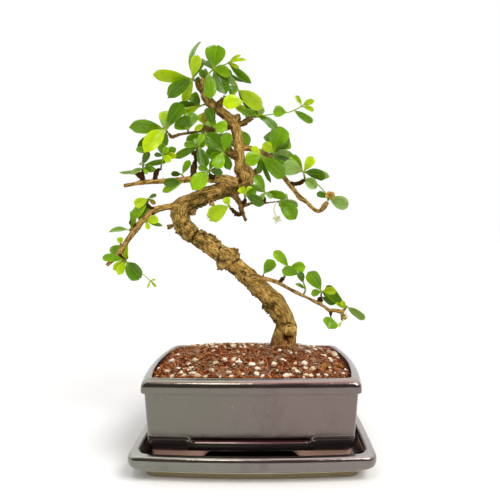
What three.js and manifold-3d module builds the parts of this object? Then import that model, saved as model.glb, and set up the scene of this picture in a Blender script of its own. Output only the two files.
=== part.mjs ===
// A small flowering evergreen tree trained in an S, in a glazed oblong pot that stands in its drip tray.
// Millimetres, +Z up, seen from -Y. The tray stands on z = 0, and the pot's centre is over the origin.
import * as THREE from "three";
import { mergeVertices } from "three/addons/utils/BufferGeometryUtils.js";
import Module from "manifold-3d";

const wasm = await Module();
wasm.setup();

// Driving sizes of the pot, the tray and the soil.
const GAP = 0.3;
const SLIVER = 0.04;
const POT = { halfX: 103.8, halfY: 78.5, corner: 7.5, sideBow: 6, frontBow: 2.6, shiftX: 0.2, shiftY: 2 };
const TRAY = { halfX: 112.5, halfY: 99, corner: 15, sideBow: 1.5, frontBow: 4.5, shiftX: 1.5, shiftY: -1 };
const POT_TOP = 85;
const RIM_FALL = 3.2;
const LIP_HEIGHT = 13;
const RIM_BREADTH = 9;
const WALL = 9.5;
const WALL_TAPER = 3.5;
const BODY_INSET = 6.5;
const TRAY_TOP = 23.5;
const TRAY_FLOOR = 8;
const FOOT_HEIGHT = 8.5;
const FLOOR_THICKNESS = 7.2;
const FOOT_GAP_X = 46;
const FOOT_GAP_Y = 30;
const SLOT_HALF = 54;
const SLOT_HEIGHT = 4;
const SLOT_DEPTH = 1.6;
const SLOT_Z = 29.2;
const DRAIN_X = 46;
const DRAIN_RADIUS = 8;
const DRAIN_SIDES = 12;
const SCREEN_SIDE = 26;
const SCREEN_THICKNESS = 1;
const SCREEN_HOLES = 2;
const SCREEN_BAR = 3;
const SOIL_DROP = 3;
const MOUND_HEIGHT = 11.5;
const MOUND_X = -8;
const MOUND_Y = 34;
const MOUND_SPREAD_X = 84;
const MOUND_SPREAD_Y = 48;
const GRAIN_RELIEF = 1.5;

// Driving sizes of the foliage.
const BLADE_THICKNESS = 0.8;
const SMALL_LEAF = 9.5;
const LONG_LEAF = 35;
const STRONG_ARCH = 48;
const SAG = 0.07;
const LEAVES_PER_FAR_LEAF = 7;
const FAR_SIDE = 50;
const LAYER = 1.15;
const HEAD_RADIUS = 1.5;
const HEART_RADIUS = 1.5;
const PETAL_BREADTH = 0.8;
const PETAL_ARCH = 30;

// The routes of the trunk, limbs, twigs and spurs, each point as x, y, z and radius.
const LIMBS = {
  trunk: [[34, 28, 57, 11.3], [34, 28, 73, 13.6], [34, 28, 87, 15.3], [34, 28, 96, 14.7],
    [35, 28, 104, 13.8], [37, 28, 113, 11.8], [35.3, 28, 123, 10.9], [30.7, 28, 132, 11.5],
    [23.5, 28, 143, 11.5], [13.2, 28, 153.3, 10.8], [2.4, 28, 164, 10], [-10.6, 28, 176, 9.9],
    [-22, 28, 186, 9.9], [-32, 28, 194.8, 10.8], [-43, 28, 202, 10], [-54, 28, 210, 10],
    [-66, 28, 217, 9], [-75.5, 27, 225.5, 10.4], [-81.5, 27, 235, 10.3], [-83.5, 26, 245, 10.6],
    [-79.5, 26, 253, 10.2], [-69, 26, 257.5, 9.2], [-57, 27, 263.8, 9.4], [-44, 28, 267.8, 9.3],
    [-29, 29, 272, 9.7], [-17, 30, 276, 9.1], [-7, 30, 282, 7.7], [-6, 30, 290, 6.4],
    [-12, 28, 298, 5.2]],
  leader: [[-18, 26, 277, 6.2], [-12, 24, 284, 6.8], [-15.5, 24, 293, 6.5], [-15, 25, 304, 5.9],
    [-17, 26, 319, 5.9], [-19, 27, 334, 5.8], [-22, 28, 345, 5.9], [-29, 28, 353, 5.7],
    [-38, 28, 360, 5.6], [-47, 28, 367, 5.6], [-54, 28, 376, 5.2], [-57, 28, 386, 4.9],
    [-57, 28, 397, 3.4]],
  left_limb: [[-18, 24, 277, 6.8], [-31, 22, 282, 5.2], [-43, 20, 282, 4.8], [-54, 19, 282, 4],
    [-65, 18, 282, 3.8], [-76, 18, 281, 3.7], [-91, 18, 280, 3], [-107, 18, 279, 2.9],
    [-123, 18, 278, 2.8], [-133, 17, 276, 2.2], [-144, 16, 274, 2.2]],
  low_left_limb: [[-85, 22, 251, 5.6], [-94, 20, 251, 3.8], [-104, 18, 249, 3.7], [-111, 16, 246, 4.1],
    [-118, 14, 239, 3.6], [-124, 12, 233, 3.5], [-128, 11, 228, 4.1], [-133, 9, 220, 3.3],
    [-138, 8, 213, 3], [-143, 7, 205, 3.1], [-148, 6, 196, 3.1], [-154, 5, 191, 2.6],
    [-159, 4, 186, 2.1]],
  upper_left_limb: [[-21, 29, 342, 3.6], [-34, 34, 343, 3], [-47, 32, 340, 3.2], [-56, 28, 340, 3.4],
    [-65, 26, 336, 1.9], [-75, 24, 334, 1.7], [-84, 22, 332, 1.7], [-91, 20, 329, 2.3],
    [-95, 19, 333, 1.5]],
  stub: [[-17, 26, 308, 3.8], [-24, 19, 309, 3.3], [-30, 16, 310, 2.7]],
  right_limb: [[-17, 26, 317, 4.3], [-8, 27, 318, 3.5], [3, 30, 316, 2.8], [13, 32, 312, 2.9],
    [22, 33, 306, 3], [29, 33, 295, 2.9], [35, 33, 285, 2.9], [41, 33, 277, 2.9], [49, 32, 267, 2.6],
    [53, 32, 262, 3.2], [60, 31, 257, 2.3], [66, 30, 251, 2.3], [71, 29, 247, 2.3], [76, 28, 247, 2.3],
    [80, 27, 252, 3.3], [84, 27, 257, 2.5]],
  right_stub: [[-22, 28, 344, 4.3], [-12, 31, 347, 3.4], [-7, 33, 351, 3.3], [-1, 34, 354, 2.5]],
  crown_stub: [[-43, 27, 362, 4.5], [-36, 24, 369, 3.8], [-34, 23, 374, 2.5]],
  crown_fork: [[-56, 28, 380, 4.1], [-62, 26, 387, 3.1], [-65, 25, 391, 1.8]],
  low_right_limb: [[-7, 24, 174, 4.2], [9, 19, 171, 3], [18.3, 16, 169.6, 2.4], [28, 13, 166.5, 2.4],
    [38, 11, 161, 1.9], [48, 8, 156, 2.3], [59, 6, 151, 1.6], [69, 4, 146, 2.1], [77, 2, 142, 1.7],
    [82, 1, 138, 2.1], [88, 0, 138, 2.2], [95, -2, 137, 2.4], [98, -2, 139, 1.7]],
  under_twig: [[-28, 26, 271, 5], [-20, 22, 262, 3.7], [-15, 20, 254, 2.9], [-13, 19, 246, 2.8],
    [-11, 19, 241, 2], [-8, 18, 235, 1.8]],
  under_right_twig: [[-15, 20, 253, 2.5], [-8, 22, 253, 2.2], [-3, 24, 255, 1.6], [5, 26, 254, 1.4],
    [12, 28, 256, 1.9], [16, 28, 256, 1.1], [26, 26, 257, 0.9]],
  spur_a: [[-67, 18, 282, 3.1], [-67, 19, 293, 3.7], [-65, 20, 302, 2.2], [-64, 20, 310, 2.3],
    [-62, 20, 316, 1.7]],
  spur_b: [[-64, 20, 308, 1.8], [-68, 20, 312, 2.2]],
  spur_c: [[-123, 18, 278, 2.2], [-125, 18, 286, 3.2], [-130, 18, 288, 2.2], [-136, 18, 290, 1.4]],
  spur_d: [[-124, 18, 284, 2.2], [-122, 17, 293, 1.7]],
  spur_e: [[-110, 18, 279, 2.2], [-109, 18, 286, 2.9], [-107, 18, 291, 2.6], [-103, 18, 293, 1.3]],
  spur_f: [[-110, 16, 247, 2.2], [-115, 16, 250, 2.2], [-118, 16, 254, 1.4]],
  spur_g: [[-111, 16, 245, 1.8], [-111, 15, 237, 1.8]],
  spur_h: [[-129, 11, 228, 2.6], [-133, 10, 232, 2.5], [-134, 10, 237, 1.3], [-135, 10, 242, 0.9]],
  spur_i: [[-147, 6, 199, 2.2], [-143, 5, 194, 2.3], [-139, 4, 192, 1.8]],
  spur_j: [[41, 33, 278, 2.5], [48, 32, 278, 2.5], [55, 30, 280, 2.5], [58, 29, 282, 1.6]],
  spur_k: [[-13, 19, 244, 2.2], [-17, 17, 242, 2.6], [-21, 16, 245, 2.3], [-25, 15, 249, 1.6]],
  spur_l: [[-12, 20, 253, 2], [-9, 19, 259, 2.6]],
  spur_m: [[12, 28, 256, 1.7], [12, 28, 263, 1.8]],
  spur_n: [[28, 13, 166, 2], [33, 13, 172, 2.6]],
  spur_o: [[70, 4, 146, 1.7], [73, 3, 152, 2.2]],
  spur_p: [[83, 1, 138, 1.5], [84, 0, 132, 1.5]],
  spur_s: [[-44, 20, 281, 2.9], [-48, 16, 287, 1.8]],
  back_limb: [[-15, 28, 303, 4.5], [-20, 40, 309, 3.9], [-26, 54, 317, 3.6], [-32, 68, 326, 3.2],
    [-41, 82, 336, 2.7], [-48, 94, 344, 1.9]],
  back_right_limb: [[-9, 30, 282, 4.6], [-5, 42, 287, 4.2], [4, 58, 297, 3.6], [14, 72, 308, 3.2],
    [23, 86, 319, 2.5], [28, 96, 325, 1.8]],
};

// Knots, healed cuts and nubs on the bark, each as x, y, z and radius.
const KNOTS = [
  [39, 17, 111, 5.4], [-32, 20, 196.5, 5.4], [-34, 24, 185.5, 5.2], [-25, 25, 196, 5],
  [-67, 22, 219, 5.4], [-47, 22, 255, 3.4], [-69, 25, 247, 4.8], [-61, 25, 255.5, 4],
  [-94, 27, 229, 2.8], [-19, 27, 352, 4.6], [-8, 22, 286, 4.6], [73, 4, 148, 2.8], [97, -2, 132, 3.2],
];

// Flowers and buds: the pedicel's route, the petals' length, and the bearing and lean of each petal.
const FLOWERS = {
  hanging_flower: {
    pedicel: [[25, 26, 255, 0.7], [23, 25, 248, 0.6], [26, 24, 237, 0.7]],
    size: 5,
    petals: [[170, 0], [100, 20], [45, -20], [-20, 10], [-100, 0]],
  },
  spent_flower: {
    pedicel: [[85.4, 25, 260.6, 0.8], [86.2, 24, 262.6, 0.8]],
    size: 6.5,
    petals: [[165, 20], [110, -15], [50, 15], [-15, 25]],
  },
  flower_bud: {
    pedicel: [[99, -3, 136.5, 0.6], [101, -4, 131, 0.6], [96, -5, 127.4, 0.6], [93.4, -5, 124.6, 0.8]],
    size: 4.4,
    petals: [[-125, 10], [-135, -10]],
  },
};

// The leafy sprays. A stem point is x, y, z and radius. A leaf is the stem point that it grows from, its
// bearing in the front view, length, width, lean towards the viewer, roll, arch and tone.
const SPRAYS = {
  crown_left: {
    stem: [[-65, 25, 392, 1.1], [-68.2, 24, 395, 1]],
    leaves: [[1, 78, 42, 15, 5, -60, 52, 1], [1, 176, 44, 16, 8, -55, 45, 3],
      [1, -143, 35, 15, 12, -30, 30, 1], [1, -131, 42, 12, 28, -45, 30, 0],
      [1, 69, 26, 12, 32, 15, 20, 3], [1, 77, 33, 14, -25, 0, 25, 0], [1, -120, 30, 10, -25, -20, 25, 3]],
  },
  crown_back: {
    stem: [[-54.3, 30, 368.5, 1.2], [-61.9, 36, 367.8, 1]],
    leaves: [[1, 133, 19, 14, -10, 10, 25, 1], [1, -160, 23, 10, -5, -50, 25, 3],
      [1, 178, 27, 9, 5, -45, 20, 0], [1, 115, 11, 7, 15, 20, 20, 0]],
  },
  crown_top: {
    stem: [[-56.3, 28, 396.3, 1.1], [-50.5, 27, 402.2, 1], [-45.3, 26, 406.4, 1],
      [-36.7, 24, 409.7, 0.7], [-27.6, 23, 412.7, 0.7]],
    leaves: [[2, 82, 27, 23, 8, 0, 15, 1], [2, 131, 19, 10, -22, 20, 20, 0],
      [1, 180, 12, 10, -12, -50, 20, 1], [2, -26, 26, 12, 26, 18, 25, 2],
      [2, -8, 22, 10, -20, 30, 20, 0], [1, -83, 39, 15, 28, 8, 30, 1], [2, -65, 36, 17, 16, -8, 25, 0],
      [3, -52, 32, 10, 12, 55, 50, 4], [4, -39, 33, 10, -12, 45, 50, 1], [2, -22, 40, 9, 4, 72, 20, 0],
      [4, 10, 20, 4, 0, 0, 15, 3], [4, 26, 16, 3.8, 14, 0, 15, 3], [4, -2, 17, 4, 22, 0, 15, 3],
      [4, -17, 12, 4, -14, 0, 15, 3], [4, -36, 13, 4, 8, 0, 15, 3]],
  },
  crown_right: {
    stem: [[-33.8, 23, 375.6, 1.2], [-25.3, 22, 372.5, 1], [-17.4, 21, 381.8, 1], [-9.4, 19, 367.8, 0.9]],
    leaves: [[1, 76, 17, 11, -15, 0, 25, 1], [2, -38, 35, 17, 5, 32, 45, 3],
      [2, -54, 26, 10, -20, 50, 25, 0], [3, -169, 26, 16, 18, 8, 25, 3]],
  },
  right_stub_spray: {
    stem: [[0.2, 34, 354, 1.2], [3.7, 34, 355.2, 1], [18.6, 34, 357.5, 0.7], [38, 33, 359.6, 0.7],
      [46, 33, 362.1, 0.7], [55.1, 32, 366.7, 0.7]],
    leaves: [[1, 114, 11, 7, 0, 0, 20, 0], [1, 62, 14, 10, -12, 40, 25, 4],
      [1, -42, 32, 14, 26, -40, 20, 0], [1, -14, 13, 7, 22, 40, 30, 3],
      [1, -14, 18, 4.6, -18, 20, 20, 4], [1, 172, 21, 9, 30, -35, 20, 1],
      [1, 150, 31, 9, -15, -30, 38, 3], [3, 178, 16, 13, 4, -25, 15, 2],
      [4, -31, 26, 10, 0, 42, 45, 1], [5, 122, 14, 5.7, 0, 0, 15, 3], [5, 21, 15, 7, 8, 10, 20, 3],
      [5, -18, 15, 5.7, -10, 10, 15, 3]],
  },
  right_mid_spray: {
    stem: [[22.6, 32, 308.5, 1.2], [22, 30, 312.2, 1]],
    leaves: [[1, 71, 32, 22, 2, 0, 20, 1], [1, 28, 20, 10, 18, 50, 20, 0],
      [1, -2, 19, 9, 14, 35, 25, 4], [1, -66, 17, 7, 16, 0, 20, 0], [1, -22, 27, 10, -8, 62, 40, 0],
      [1, 51, 32, 14, -22, 20, 30, 0], [1, 135, 16, 11, 12, 0, 20, 3]],
  },
  right_inner_spray: {
    stem: [[9.5, 28, 312.4, 1.2], [8.4, 23, 307, 1]],
    leaves: [[1, 131, 16, 8, -4, 20, 20, 3], [1, -157, 20, 16, 18, 5, 20, 2],
      [1, -97, 19, 7, 0, 0, 20, 0], [1, -43, 37, 17, 12, 10, 20, 1], [1, -68, 31, 7, -14, 50, 20, 0]],
  },
  right_outer_spray: {
    stem: [[58.3, 29, 283, 1.2], [56.5, 27, 290.7, 1]],
    leaves: [[1, 124, 27, 10, -26, 10, 25, 2], [1, 58, 20, 11, 2, 8, 20, 3],
      [1, -17, 26, 14, 14, 40, 20, 0], [1, -8, 32, 11, -16, 48, 45, 4],
      [1, 170, 26, 18, 12, -8, 20, 4], [0, -45, 21, 12, 35, 10, 20, 4]],
  },
  right_tip_spray: {
    stem: [[84, 27, 258.4, 1.2], [84.1, 26, 261.2, 1.1], [78.9, 25, 269.6, 0.8],
      [71.5, 25, 276.9, 0.8], [65.3, 25, 280.9, 0.7]],
    leaves: [[1, 157, 14, 8, -8, 20, 20, 0], [1, -23, 25, 16, 8, 32, 35, 4]],
  },
  under_right_spray: {
    stem: [[11.7, 28, 263.6, 1.1], [12.9, 27, 267.5, 1]],
    leaves: [[1, 120, 23, 11, 4, 8, 25, 2], [1, 156, 18, 9, 10, -35, 25, 4],
      [1, -11, 25, 12, 6, 46, 45, 1], [1, -41, 11, 5.7, 16, 0, 20, 4], [1, -120, 12, 7, 18, 20, 20, 4]],
  },
  under_left_spray: {
    stem: [[-9.4, 18, 260, 1.1], [-9.4, 17, 263.8, 1]],
    leaves: [[1, -28, 24, 12, 8, 28, 20, 0], [1, 122, 10, 9, 2, 0, 20, 3],
      [1, 23, 14, 9, -6, 20, 20, 1], [1, 52, 13, 7, -20, 0, 20, 3]],
  },
  under_tip_spray: {
    stem: [[25.9, 26, 256.7, 1], [28.7, 26, 257.2, 1]],
    leaves: [[1, 27, 15, 11, -38, 28, 20, 4], [1, -13, 23, 10, -12, 20, 25, 4],
      [1, -47, 28, 17, 12, -5, 25, 1], [1, -54, 8, 7, 22, 0, 20, 1]],
  },
  hanging_spray: {
    stem: [[-25.3, 15, 249.8, 1.1], [-26.9, 14, 251.4, 1]],
    leaves: [[1, -148, 28, 18, 12, -22, 35, 3], [1, 114, 11, 9, -12, 0, 20, 3]],
  },
  inner_left_spray: {
    stem: [[-62, 20, 316.1, 1.1], [-60.9, 20, 318.9, 1]],
    leaves: [[1, -73, 28, 13, 14, -5, 20, 0], [1, 66, 14, 8, 20, 0, 20, 2],
      [1, 126, 10, 5.6, 6, 30, 20, 4], [1, -156, 32, 10, -6, -35, 20, 1],
      [1, 176, 17, 8, 6, -20, 20, 1]],
  },
  stub_spray: {
    stem: [[-31.5, 15.5, 310.3, 1.2], [-33.1, 15, 310.7, 1]],
    leaves: [[1, 135, 29, 17, -6, 0, 20, 0], [1, -157, 17, 9, 2, -35, 20, 1],
      [1, -111, 23, 14, 24, 0, 28, 2], [1, -69, 22, 10, 12, 5, 20, 0], [1, 78, 24, 12, -6, 10, 20, 1]],
  },
  left_limb_spray: {
    stem: [[-48.2, 16, 287, 1.1], [-49, 14, 290.7, 1]],
    leaves: [[1, -127, 30, 18, 18, 5, 20, 2], [1, -10, 16, 9, 8, 28, 20, 0],
      [1, 165, 13, 8, 25, -30, 20, 1], [1, 66, 14, 7, -14, 0, 20, 1]],
  },
  left_limb_low: {
    stem: [[-76.2, 14.5, 279.1, 1.1], [-77.5, 12, 277.7, 1]],
    leaves: [[1, -174, 21, 11, 6, -28, 20, 0], [1, -155, 26, 9, -8, -28, 20, 2]],
  },
  left_limb_high: {
    stem: [[-77.3, 18, 282.8, 1], [-79.7, 19, 286.9, 0.9]],
    leaves: [[1, 178, 12, 8, 8, -52, 30, 0], [1, 62, 18, 8, 0, 5, 20, 1]],
  },
  upper_left_spray: {
    stem: [[-95.3, 18.7, 333.1, 1.1], [-97.2, 17, 336.1, 1]],
    leaves: [[1, 178, 40, 16, 6, -22, 28, 1], [1, -125, 38, 18, 24, -8, 22, 3],
      [1, -152, 41, 12, -14, -40, 25, 0], [1, 58, 35, 16, 4, 5, 20, 0],
      [1, 113, 13, 4.4, 10, 0, 15, 4], [1, -104, 19, 8, -28, 0, 20, 1], [1, 100, 28, 13, -26, 0, 20, 3]],
  },
  left_cluster_a: {
    stem: [[-122.2, 17, 293.3, 1], [-122.8, 17, 296.6, 0.9], [-118.3, 17, 309.4, 0.7]],
    leaves: [[1, 65, 17, 8, 8, 10, 20, 0], [1, 15, 28, 8, -22, 42, 30, 1], [0, -6, 17, 9, 25, 30, 20, 1],
      [0, -168, 27, 9, 18, -70, 55, 4], [0, -51, 11, 4.4, 30, 0, 15, 2], [2, 154, 14, 8, -4, 20, 15, 1],
      [0, -150, 17, 5.6, 28, -20, 15, 4]],
  },
  left_cluster_b: {
    stem: [[-103, 18, 294, 1], [-101.6, 17, 300.5, 0.8], [-99.8, 16, 307, 0.8]],
    leaves: [[2, 0, 15, 8, 10, 20, 20, 3], [2, -39, 13, 8, 22, 0, 20, 3],
      [2, 173, 10, 5.6, 12, -30, 30, 0], [2, 30, 17, 9, 10, 30, 20, 1], [2, 105, 15, 9, 0, 0, 20, 1],
      [2, 58, 11, 7, 14, 0, 20, 2]],
  },
  mid_left_spray: {
    stem: [[-73.8, 24, 335.4, 1.1], [-73.5, 22, 337.2, 1]],
    leaves: [[1, 107, 16, 13, 10, 0, 20, 0], [1, 153, 17, 12, -4, -10, 20, 1],
      [1, 78, 23, 15, -18, 5, 20, 1]],
  },
  mid_inner_spray: {
    stem: [[-55.1, 27, 341.7, 1.1], [-55.5, 26, 343.7, 1]],
    leaves: [[1, 86, 16, 10, -12, 0, 25, 5], [1, 120, 18, 10, -28, 0, 20, 3],
      [1, -148, 13, 7, 16, -30, 20, 3]],
  },
  mid_front_spray: {
    stem: [[-46.1, 28, 340.7, 1.1], [-44.4, 23, 340.8, 1]],
    leaves: [[1, 108, 23, 12, 10, 5, 20, 0], [1, -16, 19, 16, 30, -10, 32, 2]],
  },
  mid_low_spray: {
    stem: [[-55.5, 27.5, 338.5, 1], [-53.6, 24, 332.5, 0.9]],
    leaves: [[1, -164, 25, 11, -14, -22, 20, 1], [1, -114, 17, 8, -12, -20, 20, 2],
      [1, -127, 12, 5.6, -10, -20, 20, 1]],
  },
  leader_leaf: {
    stem: [[-16.2, 30, 338.9, 1], [-14, 32, 338.8, 0.8]],
    leaves: [[1, -61, 18, 10, -6, 0, 20, 1]],
  },
  low_left_top: {
    stem: [[-117.3, 15.8, 254.3, 1], [-116.3, 15.5, 259.3, 0.9]],
    leaves: [[1, -154, 17, 11, 6, -28, 25, 3], [1, -131, 28, 11, -4, -15, 25, 2],
      [1, -112, 29, 11, -10, 5, 20, 1], [1, 25, 11, 4.4, 8, 20, 20, 0], [1, -34, 10, 5.5, 4, 20, 20, 5]],
  },
  low_left_mid: {
    stem: [[-133.9, 8.7, 225.3, 1], [-134.8, 8, 224.8, 0.9]],
    leaves: [[1, 87, 21, 9, 6, 64, 75, 1], [1, -174, 22, 10, 8, 52, -8, 1]],
  },
  low_left_yellow: {
    stem: [[-116.3, 13, 236.4, 1], [-117.7, 12, 233.6, 0.9]],
    leaves: [[1, 14, 14, 10, 6, 10, 20, 3], [1, -68, 9, 5.5, 12, 0, 15, 3],
      [1, -13, 18, 5.5, -4, 20, 20, 1]],
  },
  low_left_leaf: {
    stem: [[-143.5, 8, 207.2, 1], [-145.2, 10, 208.9, 0.9]],
    leaves: [[1, -127, 18, 14, -12, 0, 20, 1], [1, 98, 8, 7, -4, 0, 20, 3]],
  },
  low_left_strip: {
    stem: [[-137.7, 8.5, 212.2, 1], [-136.7, 9, 210.5, 0.8]],
    leaves: [[1, -94, 18, 9, 0, 38, 45, 3]],
  },
  low_left_end: {
    stem: [[-138.8, 3, 191.6, 1], [-137.5, 2, 190.6, 0.9], [-128.8, 6, 182.2, 0.5],
      [-119, 6, 175.7, 0.5], [-111.9, 6, 169.1, 0.5]],
    leaves: [[1, -48, 26, 17, 10, 0, 20, 0], [0, -113, 17, 9, 8, 0, 20, 3],
      [0, -142, 17, 8, -4, 0, 20, 3], [0, 171, 24, 9, 24, 0, 20, 1], [4, 17, 6, 2.4, 0, 0, 10, 3],
      [4, -110, 8, 2.4, 6, 0, 10, 3], [4, -50, 9, 3.3, -6, 0, 10, 3]],
  },
  low_right_first: {
    stem: [[10.7, 18.5, 173.1, 1], [11, 18.5, 175.3, 0.9]],
    leaves: [[1, 54, 20, 13, 4, 0, 20, 1]],
  },
  low_right_knob: {
    stem: [[33, 13, 171.6, 1.1], [39.3, 10, 183.1, 1]],
    leaves: [[1, 132, 25, 11, 4, 8, 25, 2], [1, 4, 18, 12, 8, 12, 22, 2]],
  },
  low_right_shoot: {
    stem: [[55, 7, 154.3, 1], [57.1, 7, 159.8, 1], [55, 7, 166.9, 0.8], [50.6, 8, 176.1, 0.8]],
    leaves: [[3, 166, 20, 12, 4, -10, 20, 1], [2, 113, 14, 8, 14, 0, 20, 0],
      [1, 151, 13, 4.4, 8, 30, 30, 1]],
  },
  low_right_mid: {
    stem: [[73.6, 2.5, 152.6, 1.1], [74.1, 2, 158.1, 1]],
    leaves: [[1, 124, 26, 15, 4, 8, 20, 1], [1, 9, 17, 9, 30, 18, 25, 3],
      [1, -167, 12, 8, 10, -8, 20, 1], [0, -28, 19, 9, -14, 28, 20, 0], [1, -28, 23, 11, -38, 20, 20, 0]],
  },
  low_right_end: {
    stem: [[98.8, -2.5, 139.8, 1.1], [100.3, -3, 142.6, 1]],
    leaves: [[1, 133, 31, 13, -18, -32, 62, 1], [0, 146, 13, 4.3, 12, 0, 15, 3],
      [0, 115, 11, 5.4, 18, 0, 15, 3], [1, -35, 24, 11, 4, 32, 20, 4]],
  },
  low_right_round: {
    stem: [[83.5, -0.5, 131.5, 1], [83.7, -3, 130.8, 0.9]],
    leaves: [[1, -113, 15, 17, 44, 0, 20, 1]],
  },
  back_end: {
    stem: [[-48, 94, 344.4, 1.2], [-49.9, 100, 350.2, 1]],
    leaves: [[1, 126, 25, 18, -20, 10, 25, 1], [1, 45, 26, 18, -35, -10, 25, 0],
      [1, -176, 24, 17, -30, 20, 25, 1], [1, -95, 27, 18, -10, -5, 25, 0],
      [1, -28, 29, 15, -50, 20, 25, 1], [1, -125, 31, 15, -50, -15, 25, 3],
      [1, 81, 34, 17, -65, 0, 30, 1]],
  },
  back_inner: {
    stem: [[-27.7, 57, 320.9, 1.2], [-29.1, 59, 324.8, 1]],
    leaves: [[1, -121, 26, 17, 10, 5, 25, 1], [1, 35, 19, 12, -40, -20, 25, 0],
      [1, 113, 26, 14, -45, 15, 25, 1], [1, 20, 26, 14, -12, 0, 25, 0],
      [1, -163, 33, 14, -15, 10, 25, 1]],
  },
  back_right_end: {
    stem: [[28, 97, 327.3, 1.2], [28.1, 101, 331.2, 1]],
    leaves: [[1, 119, 24, 19, -15, 5, 25, 0], [1, 27, 21, 18, -20, 10, 25, 1],
      [1, -164, 22, 17, -30, -10, 25, 1], [1, -84, 26, 18, -10, 0, 25, 0],
      [1, -34, 33, 15, -45, 15, 25, 1], [1, 72, 32, 15, -60, 0, 30, 3],
      [1, -128, 37, 15, -55, -10, 25, 0]],
  },
  back_right_inner: {
    stem: [[6.8, 61, 301.2, 1.2], [8, 62, 304.9, 1]],
    leaves: [[1, 142, 19, 13, -20, 0, 25, 1], [1, 20, 20, 17, -15, 10, 25, 0],
      [1, 65, 26, 16, -40, -10, 25, 1], [1, 150, 20, 14, -8, 0, 25, 0],
      [1, -4, 34, 14, -12, 10, 25, 1]],
  },
};

// Tones of the leaves, from dark to lime, and the other finishes.
const GREEN = { deep: "#4f8a10", fresh: "#7dae1c", lime: "#a8cc3a" };
const BARK = "#a98a5c";
const GLAZE = "#6f6c6b";
const SOIL = "#7a452c";
const MESH = "#3a3a38";
const PETAL = "#e6e3c4";
const SPENT = "#8f7a34";

// A steady pseudo-random number between 0 and 1 for a whole number.
function draw(seed) {
  const wave = Math.sin(seed * 12.9898 + 4.1414) * 43758.5453;
  return wave - Math.floor(wave);
}

// Solids and meshes: a closed geometry becomes a solid for joins and cuts, and a solid becomes a geometry,
// without the slivers that the cuts leave.
function solidOf(geometry) {
  const bare = geometry.clone();
  bare.deleteAttribute("normal");
  bare.deleteAttribute("uv");
  const merged = mergeVertices(bare, 1e-4);
  return new wasm.Manifold(
    new wasm.Mesh({
      numProp: 3,
      vertProperties: new Float32Array(merged.attributes.position.array),
      triVerts: new Uint32Array(merged.index.array),
    }),
  );
}

function geometryOf(solid) {
  const mesh = solid.simplify(SLIVER).getMesh();
  const geometry = new THREE.BufferGeometry();
  geometry.setAttribute("position", new THREE.BufferAttribute(mesh.vertProperties, mesh.numProp));
  geometry.setIndex(new THREE.BufferAttribute(mesh.triVerts, 1));
  geometry.computeVertexNormals();
  return geometry;
}

function fuse(solids) {
  return solids.reduce((sum, solid) => sum.add(solid));
}

function largestBody(solid) {
  const bodies = solid.decompose();
  return bodies.reduce((best, body) => (body.volume() > best.volume() ? body : best));
}

// A closed skin over rings of points. Each ring has the same number of points, and the ends are closed
// to the middle of the first and last ring.
function skin(rings) {
  const count = rings[0].length;
  const points = rings.flat();
  const faces = [];
  for (let r = 0; r + 1 < rings.length; r++) {
    for (let k = 0; k < count; k++) {
      const next = (k + 1) % count;
      const a = r * count + k;
      const b = r * count + next;
      const c = a + count;
      const d = b + count;
      faces.push(a, b, d, a, d, c);
    }
  }
  const middle = (ring) =>
    ring.reduce((sum, p) => sum.add(p), new THREE.Vector3()).divideScalar(ring.length);
  const last = (rings.length - 1) * count;
  points.push(middle(rings[0]), middle(rings[rings.length - 1]));
  for (let k = 0; k < count; k++) {
    const next = (k + 1) % count;
    faces.push(points.length - 2, next, k, points.length - 1, last + k, last + next);
  }
  const geometry = new THREE.BufferGeometry().setFromPoints(points);
  geometry.setIndex(faces);
  return geometry;
}

// A branch: a cylinder whose rows of points follow a curve, with the radius of each row from the route.
function limb(route, sides, grow = 0, gnarl = 0) {
  const curve = new THREE.CatmullRomCurve3(
    route.map(([x, y, z]) => new THREE.Vector3(x, y, z)), false, "centripetal");
  const rows = route.length - 1;
  const geometry = new THREE.CylinderGeometry(1, 1, 1, sides, rows);
  const frames = [];
  let across = new THREE.Vector3(0, 1, 0);
  for (let row = 0; row <= rows; row++) {
    const along = curve.getTangent(row / rows);
    if (Math.abs(along.dot(across)) > 0.95) across = new THREE.Vector3(1, 0, 0);
    across = across.clone().addScaledVector(along, -across.dot(along)).normalize();
    frames.push({ at: curve.getPoint(row / rows), along, across, radius: route[row][3] + grow });
  }
  frames[0].at.addScaledVector(frames[0].along, -grow);
  frames[rows].at.addScaledVector(frames[rows].along, grow);
  const position = geometry.attributes.position;
  for (let i = 0; i < position.count; i++) {
    const row = Math.round((position.getY(i) + 0.5) * rows);
    const { at, along, across, radius } = frames[row];
    const side = across.clone().cross(along);
    const [u, v] = [position.getX(i), position.getZ(i)];
    const turn = Math.atan2(v, u);
    const swell = gnarl * (Math.sin(3 * turn + row * 0.9) + 0.7 * Math.sin(5 * turn - row * 1.7));
    const point = at.clone();
    point.addScaledVector(across, u * radius * (1 + swell));
    point.addScaledVector(side, v * radius * (1 + swell));
    position.setXYZ(i, point.x, point.y, point.z);
  }
  return solidOf(geometry);
}

// The woody frame: every limb, twig and knot grown as one piece.
const LIMB_SIDES = { trunk: 10, leader: 7, left_limb: 5, low_left_limb: 5, right_limb: 5 };
const GNARL = { trunk: 0.035, leader: 0.03 };

function wood(grow = 0) {
  const limbs = Object.entries(LIMBS).map(([name, route]) =>
    limb(route, LIMB_SIDES[name] ?? 4, grow, GNARL[name] ?? 0));
  const knots = KNOTS.map(([x, y, z, radius]) =>
    solidOf(new THREE.IcosahedronGeometry(1.2 * radius + grow, 0).translate(x, y, z)));
  return fuse([...limbs, ...knots]);
}

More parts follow.
